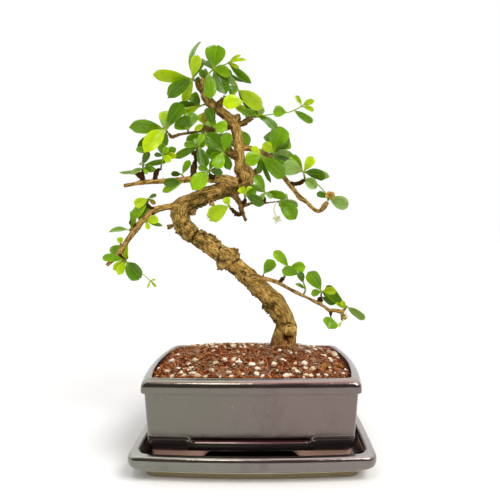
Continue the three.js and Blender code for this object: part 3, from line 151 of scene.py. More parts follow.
# Each spray as its stem, like a limb, and its leaves: the point of the stem that bears the leaf, bearing,
# length, width, lean, roll, arch and tone.
SPRAYS: dict[str, list[list[Row]]] = read_table("""
crown_left: -65 25 392 1.1, -68.2 24 395 1 : 1 78 42 15 5 -60 52 1, 1 176 44 16 8 -55 45 3,
  1 -143 35 15 12 -30 30 1, 1 -131 42 12 28 -45 30 0, 1 69 26 12 32 15 20 3, 1 77 33 14 -25 0 25 0,
  1 -120 30 10 -25 -20 25 3;
crown_back: -54.3 30 368.5 1.2, -61.9 36 367.8 1 : 1 133 19 14 -10 10 25 1, 1 -160 23 10 -5 -50 25 3,
  1 178 27 9 5 -45 20 0, 1 115 11 7 15 20 20 0;
crown_top: -56.3 28 396.3 1.1, -50.5 27 402.2 1, -45.3 26 406.4 1, -36.7 24 409.7 0.7,
  -27.6 23 412.7 0.7 : 2 82 27 23 8 0 15 1, 2 131 19 10 -22 20 20 0, 1 180 12 10 -12 -50 20 1,
  2 -26 26 12 26 18 25 2, 2 -8 22 10 -20 30 20 0, 1 -83 39 15 28 8 30 1, 2 -65 36 17 16 -8 25 0,
  3 -52 32 10 12 55 50 4, 4 -39 33 10 -12 45 50 1, 2 -22 40 9 4 72 20 0, 4 10 20 4 0 0 15 3,
  4 26 16 3.8 14 0 15 3, 4 -2 17 4 22 0 15 3, 4 -17 12 4 -14 0 15 3, 4 -36 13 4 8 0 15 3;
crown_right: -33.8 23 375.6 1.2, -25.3 22 372.5 1, -17.4 21 381.8 1, -9.4 19 367.8 0.9 :
  1 76 17 11 -15 0 25 1, 2 -38 35 17 5 32 45 3, 2 -54 26 10 -20 50 25 0, 3 -169 26 16 18 8 25 3;
right_stub_spray: 0.2 34 354 1.2, 3.7 34 355.2 1, 18.6 34 357.5 0.7, 38 33 359.6 0.7, 46 33 362.1 0.7,
  55.1 32 366.7 0.7 : 1 114 11 7 0 0 20 0, 1 62 14 10 -12 40 25 4, 1 -42 32 14 26 -40 20 0,
  1 -14 13 7 22 40 30 3, 1 -14 18 4.6 -18 20 20 4, 1 172 21 9 30 -35 20 1, 1 150 31 9 -15 -30 38 3,
  3 178 16 13 4 -25 15 2, 4 -31 26 10 0 42 45 1, 5 122 14 5.7 0 0 15 3, 5 21 15 7 8 10 20 3,
  5 -18 15 5.7 -10 10 15 3;
right_mid_spray: 22.6 32 308.5 1.2, 22 30 312.2 1 : 1 71 32 22 2 0 20 1, 1 28 20 10 18 50 20 0,
  1 -2 19 9 14 35 25 4, 1 -66 17 7 16 0 20 0, 1 -22 27 10 -8 62 40 0, 1 51 32 14 -22 20 30 0,
  1 135 16 11 12 0 20 3;
right_inner_spray: 9.5 28 312.4 1.2, 8.4 23 307 1 : 1 131 16 8 -4 20 20 3, 1 -157 20 16 18 5 20 2,
  1 -97 19 7 0 0 20 0, 1 -43 37 17 12 10 20 1, 1 -68 31 7 -14 50 20 0;
right_outer_spray: 58.3 29 283 1.2, 56.5 27 290.7 1 : 1 124 27 10 -26 10 25 2, 1 58 20 11 2 8 20 3,
  1 -17 26 14 14 40 20 0, 1 -8 32 11 -16 48 45 4, 1 170 26 18 12 -8 20 4, 0 -45 21 12 35 10 20 4;
right_tip_spray: 84 27 258.4 1.2, 84.1 26 261.2 1.1, 78.9 25 269.6 0.8, 71.5 25 276.9 0.8,
  65.3 25 280.9 0.7 : 1 157 14 8 -8 20 20 0, 1 -23 25 16 8 32 35 4;
under_right_spray: 11.7 28 263.6 1.1, 12.9 27 267.5 1 : 1 120 23 11 4 8 25 2, 1 156 18 9 10 -35 25 4,
  1 -11 25 12 6 46 45 1, 1 -41 11 5.7 16 0 20 4, 1 -120 12 7 18 20 20 4;
under_left_spray: -9.4 18 260 1.1, -9.4 17 263.8 1 : 1 -28 24 12 8 28 20 0, 1 122 10 9 2 0 20 3,
  1 23 14 9 -6 20 20 1, 1 52 13 7 -20 0 20 3;
under_tip_spray: 25.9 26 256.7 1, 28.7 26 257.2 1 : 1 27 15 11 -38 28 20 4, 1 -13 23 10 -12 20 25 4,
  1 -47 28 17 12 -5 25 1, 1 -54 8 7 22 0 20 1;
hanging_spray: -25.3 15 249.8 1.1, -26.9 14 251.4 1 : 1 -148 28 18 12 -22 35 3, 1 114 11 9 -12 0 20 3;
inner_left_spray: -62 20 316.1 1.1, -60.9 20 318.9 1 : 1 -73 28 13 14 -5 20 0, 1 66 14 8 20 0 20 2,
  1 126 10 5.6 6 30 20 4, 1 -156 32 10 -6 -35 20 1, 1 176 17 8 6 -20 20 1;
stub_spray: -31.5 15.5 310.3 1.2, -33.1 15 310.7 1 : 1 135 29 17 -6 0 20 0, 1 -157 17 9 2 -35 20 1,
  1 -111 23 14 24 0 28 2, 1 -69 22 10 12 5 20 0, 1 78 24 12 -6 10 20 1;
left_limb_spray: -48.2 16 287 1.1, -49 14 290.7 1 : 1 -127 30 18 18 5 20 2, 1 -10 16 9 8 28 20 0,
  1 165 13 8 25 -30 20 1, 1 66 14 7 -14 0 20 1;
left_limb_low: -76.2 14.5 279.1 1.1, -77.5 12 277.7 1 : 1 -174 21 11 6 -28 20 0, 1 -155 26 9 -8 -28 20 2;
left_limb_high: -77.3 18 282.8 1, -79.7 19 286.9 0.9 : 1 178 12 8 8 -52 30 0, 1 62 18 8 0 5 20 1;
upper_left_spray: -95.3 18.7 333.1 1.1, -97.2 17 336.1 1 : 1 178 40 16 6 -22 28 1,
  1 -125 38 18 24 -8 22 3, 1 -152 41 12 -14 -40 25 0, 1 58 35 16 4 5 20 0, 1 113 13 4.4 10 0 15 4,
  1 -104 19 8 -28 0 20 1, 1 100 28 13 -26 0 20 3;
left_cluster_a: -122.2 17 293.3 1, -122.8 17 296.6 0.9, -118.3 17 309.4 0.7 : 1 65 17 8 8 10 20 0,
  1 15 28 8 -22 42 30 1, 0 -6 17 9 25 30 20 1, 0 -168 27 9 18 -70 55 4, 0 -51 11 4.4 30 0 15 2,
  2 154 14 8 -4 20 15 1, 0 -150 17 5.6 28 -20 15 4;
left_cluster_b: -103 18 294 1, -101.6 17 300.5 0.8, -99.8 16 307 0.8 : 2 0 15 8 10 20 20 3,
  2 -39 13 8 22 0 20 3, 2 173 10 5.6 12 -30 30 0, 2 30 17 9 10 30 20 1, 2 105 15 9 0 0 20 1,
  2 58 11 7 14 0 20 2;
mid_left_spray: -73.8 24 335.4 1.1, -73.5 22 337.2 1 : 1 107 16 13 10 0 20 0, 1 153 17 12 -4 -10 20 1,
  1 78 23 15 -18 5 20 1;
mid_inner_spray: -55.1 27 341.7 1.1, -55.5 26 343.7 1 : 1 86 16 10 -12 0 25 5, 1 120 18 10 -28 0 20 3,
  1 -148 13 7 16 -30 20 3;
mid_front_spray: -46.1 28 340.7 1.1, -44.4 23 340.8 1 : 1 108 23 12 10 5 20 0, 1 -16 19 16 30 -10 32 2;
mid_low_spray: -55.5 27.5 338.5 1, -53.6 24 332.5 0.9 : 1 -164 25 11 -14 -22 20 1,
  1 -114 17 8 -12 -20 20 2, 1 -127 12 5.6 -10 -20 20 1;
leader_leaf: -16.2 30 338.9 1, -14 32 338.8 0.8 : 1 -61 18 10 -6 0 20 1;
low_left_top: -117.3 15.8 254.3 1, -116.3 15.5 259.3 0.9 : 1 -154 17 11 6 -28 25 3,
  1 -131 28 11 -4 -15 25 2, 1 -112 29 11 -10 5 20 1, 1 25 11 4.4 8 20 20 0, 1 -34 10 5.5 4 20 20 5;
low_left_mid: -133.9 8.7 225.3 1, -134.8 8 224.8 0.9 : 1 87 21 9 6 64 75 1, 1 -174 22 10 8 52 -8 1;
low_left_yellow: -116.3 13 236.4 1, -117.7 12 233.6 0.9 : 1 14 14 10 6 10 20 3, 1 -68 9 5.5 12 0 15 3,
  1 -13 18 5.5 -4 20 20 1;
low_left_leaf: -143.5 8 207.2 1, -145.2 10 208.9 0.9 : 1 -127 18 14 -12 0 20 1, 1 98 8 7 -4 0 20 3;
low_left_strip: -137.7 8.5 212.2 1, -136.7 9 210.5 0.8 : 1 -94 18 9 0 38 45 3;
low_left_end: -138.8 3 191.6 1, -137.5 2 190.6 0.9, -128.8 6 182.2 0.5, -119 6 175.7 0.5,
  -111.9 6 169.1 0.5 : 1 -48 26 17 10 0 20 0, 0 -113 17 9 8 0 20 3, 0 -142 17 8 -4 0 20 3,
  0 171 24 9 24 0 20 1, 4 17 6 2.4 0 0 10 3, 4 -110 8 2.4 6 0 10 3, 4 -50 9 3.3 -6 0 10 3;
low_right_first: 10.7 18.5 173.1 1, 11 18.5 175.3 0.9 : 1 54 20 13 4 0 20 1;
low_right_knob: 33 13 171.6 1.1, 39.3 10 183.1 1 : 1 132 25 11 4 8 25 2, 1 4 18 12 8 12 22 2;
low_right_shoot: 55 7 154.3 1, 57.1 7 159.8 1, 55 7 166.9 0.8, 50.6 8 176.1 0.8 : 3 166 20 12 4 -10 20 1,
  2 113 14 8 14 0 20 0, 1 151 13 4.4 8 30 30 1;
low_right_mid: 73.6 2.5 152.6 1.1, 74.1 2 158.1 1 : 1 124 26 15 4 8 20 1, 1 9 17 9 30 18 25 3,
  1 -167 12 8 10 -8 20 1, 0 -28 19 9 -14 28 20 0, 1 -28 23 11 -38 20 20 0;
low_right_end: 98.8 -2.5 139.8 1.1, 100.3 -3 142.6 1 : 1 133 31 13 -18 -32 62 1, 0 146 13 4.3 12 0 15 3,
  0 115 11 5.4 18 0 15 3, 1 -35 24 11 4 32 20 4;
low_right_round: 83.5 -0.5 131.5 1, 83.7 -3 130.8 0.9 : 1 -113 15 17 44 0 20 1;
back_end: -48 94 344.4 1.2, -49.9 100 350.2 1 : 1 126 25 18 -20 10 25 1, 1 45 26 18 -35 -10 25 0,
  1 -176 24 17 -30 20 25 1, 1 -95 27 18 -10 -5 25 0, 1 -28 29 15 -50 20 25 1, 1 -125 31 15 -50 -15 25 3,
  1 81 34 17 -65 0 30 1;
back_inner: -27.7 57 320.9 1.2, -29.1 59 324.8 1 : 1 -121 26 17 10 5 25 1, 1 35 19 12 -40 -20 25 0,
  1 113 26 14 -45 15 25 1, 1 20 26 14 -12 0 25 0, 1 -163 33 14 -15 10 25 1;
back_right_end: 28 97 327.3 1.2, 28.1 101 331.2 1 : 1 119 24 19 -15 5 25 0, 1 27 21 18 -20 10 25 1,
  1 -164 22 17 -30 -10 25 1, 1 -84 26 18 -10 0 25 0, 1 -34 33 15 -45 15 25 1, 1 72 32 15 -60 0 30 3,
  1 -128 37 15 -55 -10 25 0;
back_right_inner: 6.8 61 301.2 1.2, 8 62 304.9 1 : 1 142 19 13 -20 0 25 1, 1 20 20 17 -15 10 25 0,
  1 65 26 16 -40 -10 25 1, 1 150 20 14 -8 0 25 0, 1 -4 34 14 -12 10 25 1
""")


def draw(seed: int) -> float:
    """A steady pseudo-random number.

    Args:
        seed: Any whole number.
    Returns:
        A number between 0 and 1 that is always the same for this seed.
    """
    wave = math.sin(seed * 12.9898 + 4.1414) * 43758.5453
    return wave - math.floor(wave)


def colour(code: str) -> Colour:
    """A linear colour from a six-digit code.

    Args:
        code: Red, green and blue in two hexadecimal digits each.
    Returns:
        Linear red, green, blue and alpha.
    """
    parts = [int(code[k:k + 2], 16) / 255 for k in (0, 2, 4)]
    linear = [c / 12.92 if c <= 0.04045 else ((c + 0.055) / 1.055) ** 2.4 for c in parts]
    return (linear[0], linear[1], linear[2], 1.0)


def smoothstep(low: float, high: float, value: np.ndarray) -> np.ndarray:
    """A soft step from 0 at low to 1 at high."""
    share = np.clip((value - low) / (high - low), 0.0, 1.0)
    return share * share * (3 - 2 * share)


def cloud(points: np.ndarray, size: float, shift: float = 0.0) -> np.ndarray:
    """Soft noise at each point, with lumps of about this size."""
    return np.array([noise.noise(Vector(point / size + shift)) for point in points])


def smooth_route(route: list[Row], steps: int) -> np.ndarray:
    """A smooth curve through the points of a route.

    Args:
        route: Points as x, y, z and radius.
        steps: How many points each stretch of the route becomes.
    Returns:
        The curve's points, with the same four numbers in each row.
    """
    p = np.array(route, float)
    padded = np.vstack([2 * p[0] - p[1], p, 2 * p[-1] - p[-2]])
    rows = []
    for k in range(len(p) - 1):
        a, b, c, d = padded[k:k + 4]
        for s in range(steps):
            t = s / steps
            rows.append(b + 0.5 * t * ((c - a) + t * ((2 * a - 5 * b + 4 * c - d)
                                                      + t * (3 * b - a - 3 * c + d))))
    rows.append(p[-1])
    return np.array(rows)


class Bench:
    """The small steps that every modelled piece shares."""

    @staticmethod
    def pick(*objects: Thing) -> None:
        """Selects objects alone.

        Args:
            objects: The objects, of which the first one becomes active.
        """
        bpy.ops.object.select_all(action="DESELECT")
        for thing in objects:
            thing.select_set(True)
        bpy.context.view_layer.objects.active = objects[0]

    @staticmethod
    def made(name: str) -> Thing:
        """Names the primitive that was just added.

        Args:
            name: The name that the object and its mesh get.
        Returns:
            The active object.
        """
        thing = bpy.context.object
        thing.name = thing.data.name = name
        return thing

    @staticmethod
    def modify(thing: Thing, kind: str, **settings: object) -> None:
        """Adds a modifier to an object and applies it.

        Args:
            thing: The object.
            kind: The modifier's type.
            settings: The modifier's own settings.
        """
        Bench.pick(thing)
        modifier = thing.modifiers.new(kind.title(), kind)
        for key, value in settings.items():
            setattr(modifier, key, value)
        bpy.ops.object.modifier_apply(modifier=modifier.name)

    @staticmethod
    def points(thing: Thing) -> np.ndarray:
        """Reads the vertices of a mesh object.

        Args:
            thing: The object.
        Returns:
            Their places, one row each.
        """
        flat = np.empty(len(thing.data.vertices) * 3)
        thing.data.vertices.foreach_get("co", flat)
        return flat.reshape(-1, 3)

    @staticmethod
    def move(thing: Thing, points: np.ndarray) -> None:
        """Puts the vertices of a mesh object at new places, one row each."""
        thing.data.vertices.foreach_set("co", points.reshape(-1))
        thing.data.update()

    @staticmethod
    def ball(name: str, at: Triple | Vector, radius: float, fineness: int) -> Thing:
        """A ball of triangles.

        Args:
            name: The object's name.
            at: Its middle in millimetres.
            radius: Its radius in millimetres.
            fineness: How often its faces are split, plus one.
        Returns:
            The ball, with its place applied.
        """
        x, y, z = at
        bpy.ops.mesh.primitive_ico_sphere_add(
            subdivisions=fineness, radius=radius * MM, location=(x * MM, y * MM, z * MM))
        bpy.ops.object.transform_apply(location=True)
        return Bench.made(name)

    @staticmethod
    def copy(name: str, master: Thing, points: np.ndarray, tint: np.ndarray) -> Thing:
        """Copies a master shape with its own mesh.

        Args:
            name: The copy's name.
            master: The shape that is copied, which stays.
            points: The places of the copy's vertices in millimetres.
            tint: Their colours.
        Returns:
            The copy.
        """
        thing = bpy.data.objects.new(name, master.data.copy())
        bpy.context.scene.collection.objects.link(thing)
        Bench.move(thing, points * MM)
        Bench.paint(thing.data, "tint", tint)
        return thing

    @staticmethod
    def join(name: str, parts: list[Thing]) -> Thing:
        """Joins mesh objects into one.

        Args:
            name: The name of the joined object.
            parts: The objects, of which the first one stays.
        Returns:
            The joined object.
        """
        Bench.pick(*parts)
        if len(parts) > 1:
            bpy.ops.object.join()
        return Bench.made(name)

    @staticmethod
    def tubes(name: str, routes: list[np.ndarray], sides: int) -> Thing:
        """Round tubes along curves, each with closed ends.

        Args:
            name: The name of the object.
            routes: For each tube, rows of x, y, z and radius in millimetres.
            sides: A quarter of the sides of each tube, less one.
        Returns:
            One mesh object that holds all the tubes.
        """
        curve = bpy.data.curves.new(name, "CURVE")
        curve.dimensions = "3D"
        curve.bevel_depth = MM
        curve.bevel_resolution = sides
        curve.use_fill_caps = True
        for route in routes:
            spline = curve.splines.new("POLY")
            spline.points.add(len(route) - 1)
            for point, (x, y, z, radius) in zip(spline.points, route):
                point.co = (x * MM, y * MM, z * MM, 1)
                point.radius = radius
        thing = bpy.data.objects.new(name, curve)
        bpy.context.scene.collection.objects.link(thing)
        Bench.pick(thing)
        bpy.ops.object.convert(target="MESH")
        return Bench.made(name)

    @staticmethod
    def scatter(name: str, master: Thing, places: list[Matrix],
                tints: list[Colour], lumps: float) -> Thing:
        """Copies one small master shape many times into one mesh.

        Args:
            name: The name of the new object.
            master: The shape that is copied, which is deleted afterwards.
            places: The matrix of each copy, in metres.
            tints: The colour of each copy.
            lumps: How far the points of a copy are moved in and out, as a share.
        Returns:
            One mesh object with a "tint" attribute.
        """
        rest = Bench.points(master)
        faces = [tuple(f.vertices) for f in master.data.polygons]
        points, corners, shades = [], [], []
        for k, (place, tint) in enumerate(zip(places, tints)):
            rng = np.random.default_rng(k)
            local = rest * (1 + lumps * (rng.random((len(rest), 1)) - 0.5))
            turned = local @ np.array(place.to_3x3()).T + np.array(place.translation)
            corners += [tuple(v + k * len(rest) for v in face) for face in faces]
            points.append(turned)
            shades += [tint] * len(rest)
        mesh = bpy.data.meshes.new(name)
        mesh.from_pydata(np.vstack(points).tolist(), [], corners)
        Bench.paint(mesh, "tint", np.array(shades))
        bpy.data.objects.remove(master)
        thing = bpy.data.objects.new(name, mesh)
        bpy.context.scene.collection.objects.link(thing)
        return thing

    @staticmethod
    def paint(mesh: bpy.types.Mesh, name: str, values: np.ndarray) -> None:
        """Writes a point attribute.

        Args:
            mesh: The mesh that gets it.
            name: Its name.
            values: A number, a vector of three or a colour of four for each vertex.
        """
        wide = 1 if values.ndim == 1 else values.shape[1]
        kind, key = {1: ("FLOAT", "value"), 3: ("FLOAT_VECTOR", "vector"), 4: ("FLOAT_COLOR", "color")}[wide]
        layer = mesh.attributes.get(name) or mesh.attributes.new(name, kind, "POINT")
        layer.data.foreach_set(key, values.astype(np.float32).reshape(-1))

    @staticmethod
    def dress(thing: Thing, material: bpy.types.Material, slot: str, *nodes: str,
              angle: float = 180.0) -> None:
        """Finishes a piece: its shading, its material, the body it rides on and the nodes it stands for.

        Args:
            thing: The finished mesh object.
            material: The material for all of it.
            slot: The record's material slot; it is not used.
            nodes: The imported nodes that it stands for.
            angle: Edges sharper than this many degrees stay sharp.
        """
        Bench.pick(thing)
        bpy.ops.object.transform_apply(location=True, rotation=True, scale=True)
        bpy.ops.object.shade_smooth_by_angle(angle=math.radians(angle))
        thing.data.materials.clear()
        thing.data.materials.append(material)
        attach(thing, "root")
        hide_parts(*nodes)
        LOG.info("%s: %d faces", thing.name, len(thing.data.polygons))


class Nodes:
    """A node tree of a material or the world, built by short calls."""

    def __init__(self, tree: bpy.types.NodeTree) -> None:
        """Starts from the tree as it is."""
        self.tree = tree

    def node(self, kind: str, inputs: dict[str | int, object], **settings: object) -> bpy.types.Node:
        """Adds a node.

        Args:
            kind: The node's type, without the leading ShaderNode.
            inputs: A value or a socket for each named or numbered input.
            settings: The node's own settings.
        Returns:
            The node.
        """
        made = self.tree.nodes.new("ShaderNode" + kind)
        for key, value in settings.items():
            setattr(made, key, value)
        for key, value in inputs.items():
            if isinstance(value, Socket):
                self.tree.links.new(value, made.inputs[key])
            else:
                made.inputs[key].default_value = value
        return made

    def noise(self, where: Socket, size: float, detail: float = 3.0,
              rough: float = 0.55) -> Socket:
        """Cloudy noise whose lumps are about this size in metres."""
        inputs = {"Vector": where, "Scale": 1 / size, "Detail": detail, "Roughness": rough}
        return self.node("TexNoise", inputs).outputs["Fac"]

    def step(self, value: Socket, low: float, high: float, start: float = 0.0,
             end: float = 1.0) -> Socket:
        """Maps low to start and high to end, with a soft turn at both."""
        ranges = {"Value": value, "From Min": low, "From Max": high, "To Min": start, "To Max": end}
        return self.node("MapRange", ranges, interpolation_type="SMOOTHSTEP").outputs[0]

    def calc(self, kind: str, a: object, b: object = 0.0) -> Socket:
        """One step of arithmetic on two numbers or sockets."""
        return self.node("Math", {0: a, 1: b}, operation=kind).outputs[0]

    def mix(self, share: object, a: object, b: object, blend: str = "MIX") -> Socket:
        """Mixes two colours, each a constant or a socket."""
        return self.node("Mix", {0: share, 6: a, 7: b}, data_type="RGBA", blend_type=blend).outputs[2]


class Shade(Nodes):
    """A material's node tree round one Principled shader."""

    def __init__(self, name: str, **settings: object) -> None:
        """Starts a material.

        Args:
            name: The material's name.
            settings: Constants for the shader's sockets, with underscores for spaces.
        """
        self.material = bpy.data.materials.new(name)
        self.material.use_nodes = True
        super().__init__(self.material.node_tree)
        self.shader = self.tree.nodes["Principled BSDF"]
        for key, value in settings.items():
            self.shader.inputs[key.replace("_", " ")].default_value = value

    def place(self, scale: Triple = (1, 1, 1)) -> Socket:
        """Object coordinates, stretched by a scale along each axis."""
        where = self.node("TexCoord", {}).outputs["Object"]
        return self.node("Mapping", {"Vector": where, "Scale": scale}).outputs[0]

    def where(self) -> list[Socket]:
        """Object coordinates in metres: across, in depth and in height."""
        return list(self.node("SeparateXYZ", {0: self.place()}).outputs)

    def read(self, name: str, output: str = "Fac") -> Socket:
        """A mesh attribute, as the output Fac, Vector or Color."""
        return self.node("Attribute", {}, attribute_name=name).outputs[output]

    def blend(self, share: object, a: object, b: object) -> Socket:
        """Mixes two numbers, each a constant or a socket."""
        return self.node("Mix", {0: share, 2: a, 3: b}, data_type="FLOAT").outputs[0]

    def bump(self, height: Socket, depth: float) -> None:
        """Adds a bump on top of what is there.

        Args:
            height: Its height from 0 to 1.
            depth: Its depth in metres.
        """
        under = self.shader.inputs["Normal"]
        inputs: dict[str | int, object] = {"Height": height, "Distance": depth, "Strength": 1.0}
        if under.links:
            inputs["Normal"] = under.links[0].from_socket
        self.set("Normal", self.node("Bump", inputs).outputs[0])

    def set(self, key: str, value: Socket) -> None:
        """Links a socket to one of the shader's inputs."""
        self.tree.links.new(value, self.shader.inputs[key])


@dataclass(frozen=True)
class BarkFinish:
    """Tan bark with dark crusts, green-grey lichen and brown spurs, after the attributes of the wood.

    It is damp and reddish near the soil, between two heights in millimetres. Its crust colour and an olive
    tone are also painted shade on the side turned down and to the left.
    """

    light: str = "dab264"
    tan: str = "74541c"
    # Dark colour of painted shade in the pits, creases and lowest relief.
    hollow: str = "2c1805"
    # Near-black crust colour, which also serves as painted shade on the side turned down and to the left.
    crust_and_shade: str = "180f02"
    # Olive lichen colour; beyond the lichen patch it is painted shade on the shaded side.
    lichen_and_shade: str = "3e400c"
    spur: str = "644214"
    spur_dark: str = "180d02"
    damp: str = "8c5230"
    damp_from: float = 108
    damp_to: float = 99

    def material(self) -> bpy.types.Material:
        """Builds the bark.

        Returns:
            The material.
        """
        shade = Shade("bark", Roughness=0.85, Specular_IOR_Level=0.08)
        grain = shade.read("grain", "Vector")
        streak = shade.noise(grain, 0.0016, 4.0, 0.62)
        patch = shade.noise(grain, 0.011, 3.0)
        speck = shade.noise(shade.place(), 0.0011, 3.0, 0.7)
        base = shade.mix(shade.step(streak, 0.34, 0.66), colour(self.tan), colour(self.light))
        base = shade.mix(shade.step(patch, 0.5, 0.72, 0.0, 0.6), base, colour(self.tan))
        twig = shade.mix(shade.step(speck, 0.35, 0.68), colour(self.spur_dark), colour(self.spur))
        base = shade.mix(shade.read("spur"), base, twig)
        # Painted shade: the pits, creases and lowest relief are darkened.
        pit_shade = shade.step(shade.read("relief"), -0.15, -0.8, 0.0, 0.95)
        base = shade.mix(pit_shade, base, colour(self.hollow))
        # Dark flecks: partly real crust, partly painted shade on the side turned from the light.
        flecks = shade.calc("MULTIPLY", shade.read("crust_and_shade"), shade.step(speck, 0.3, 0.62, 0.25, 1.0))
        base = shade.mix(flecks, base, colour(self.crust_and_shade))
        # Olive of the lichen patch, and painted olive shade on the shaded side.
        lichen_and_olive_shade = shade.calc("MULTIPLY", shade.read("lichen_and_shade"), shade.step(speck, 0.38, 0.6, 0.2, 1.0))
        base = shade.mix(lichen_and_olive_shade, base, colour(self.lichen_and_shade))
        damp = shade.step(shade.where()[2], self.damp_from * MM, self.damp_to * MM, 0.0, 0.5)
        base = shade.mix(damp, base, colour(self.damp))
        shade.set("Base Color", base)
        shade.bump(streak, 0.0007)
        shade.bump(speck, 0.0006)
        return shade.material


@dataclass(frozen=True)
class LeafFinish:
    """Glossy leather-like leaves. The tint is painted on each blade, and the veins follow its own map."""

    vein: str = "b4c814"
    fresh: str = "a8c410"
    ribs: float = 52.0
    rib_slant: float = 44.0

    def material(self) -> bpy.types.Material:
        """Builds the leaf surface.

        Returns:
            The material.
        """
        shade = Shade("leaf", Specular_IOR_Level=0.13, IOR=1.45, Subsurface_Weight=0.2,
                      Subsurface_Scale=0.0016, Coat_Weight=0.3, Coat_Roughness=0.16)
        shade.shader.inputs["Subsurface Radius"].default_value = (0.6, 1.0, 0.12)
        uv = shade.node("UVMap", {}, uv_map="blade").outputs[0]
        across, along, _ = shade.node("SeparateXYZ", {0: uv}).outputs
        off = shade.calc("ABSOLUTE", shade.calc("SUBTRACT", across, 0.5))
        midrib = shade.step(off, 0.04, 0.008)
        slant = shade.calc("SUBTRACT", shade.calc("MULTIPLY", along, self.ribs),
                           shade.calc("MULTIPLY", off, self.rib_slant))
        ribs = shade.step(shade.calc("SINE", slant), 0.72, 1.0)
        cloud = shade.noise(shade.place(), 0.006, 3.0)
        tint = shade.read("tint", "Color")
        base = shade.mix(shade.step(cloud, 0.35, 0.7, 0.0, 0.28), tint, colour(self.fresh), "MULTIPLY")
        base = shade.mix(shade.calc("MULTIPLY", ribs, 0.08), base, colour(self.vein))
        base = shade.mix(shade.calc("MULTIPLY", midrib, 0.28), base, colour(self.vein))
        shade.set("Base Color", base)
        fine = shade.noise(shade.place(), 0.0011, 2.0)
        shade.set("Roughness", shade.step(fine, 0.2, 0.8, 0.24, 0.42))
        shade.bump(ribs, -0.00012)
        shade.bump(cloud, 0.0006)
        return shade.material


@dataclass(frozen=True)
class TintedFinish:
    """A matte natural surface whose colour is painted on the piece, with a speckle and a rough skin."""

    name: str
    rough: float
    speck: str
    share: float
    size: float
    depth: float

    def material(self) -> bpy.types.Material:
        """Builds the surface.

        Returns:
            The material.
        """
        shade = Shade(self.name, Roughness=self.rough, Specular_IOR_Level=0.1)
        grit = shade.noise(shade.place(), self.size, 3.0, 0.65)
        spots = shade.step(grit, 0.5, 0.72, 0.0, self.share)
        shade.set("Base Color", shade.mix(spots, shade.read("tint", "Color"), colour(self.speck)))
        shade.bump(grit, self.depth)
        return shade.material


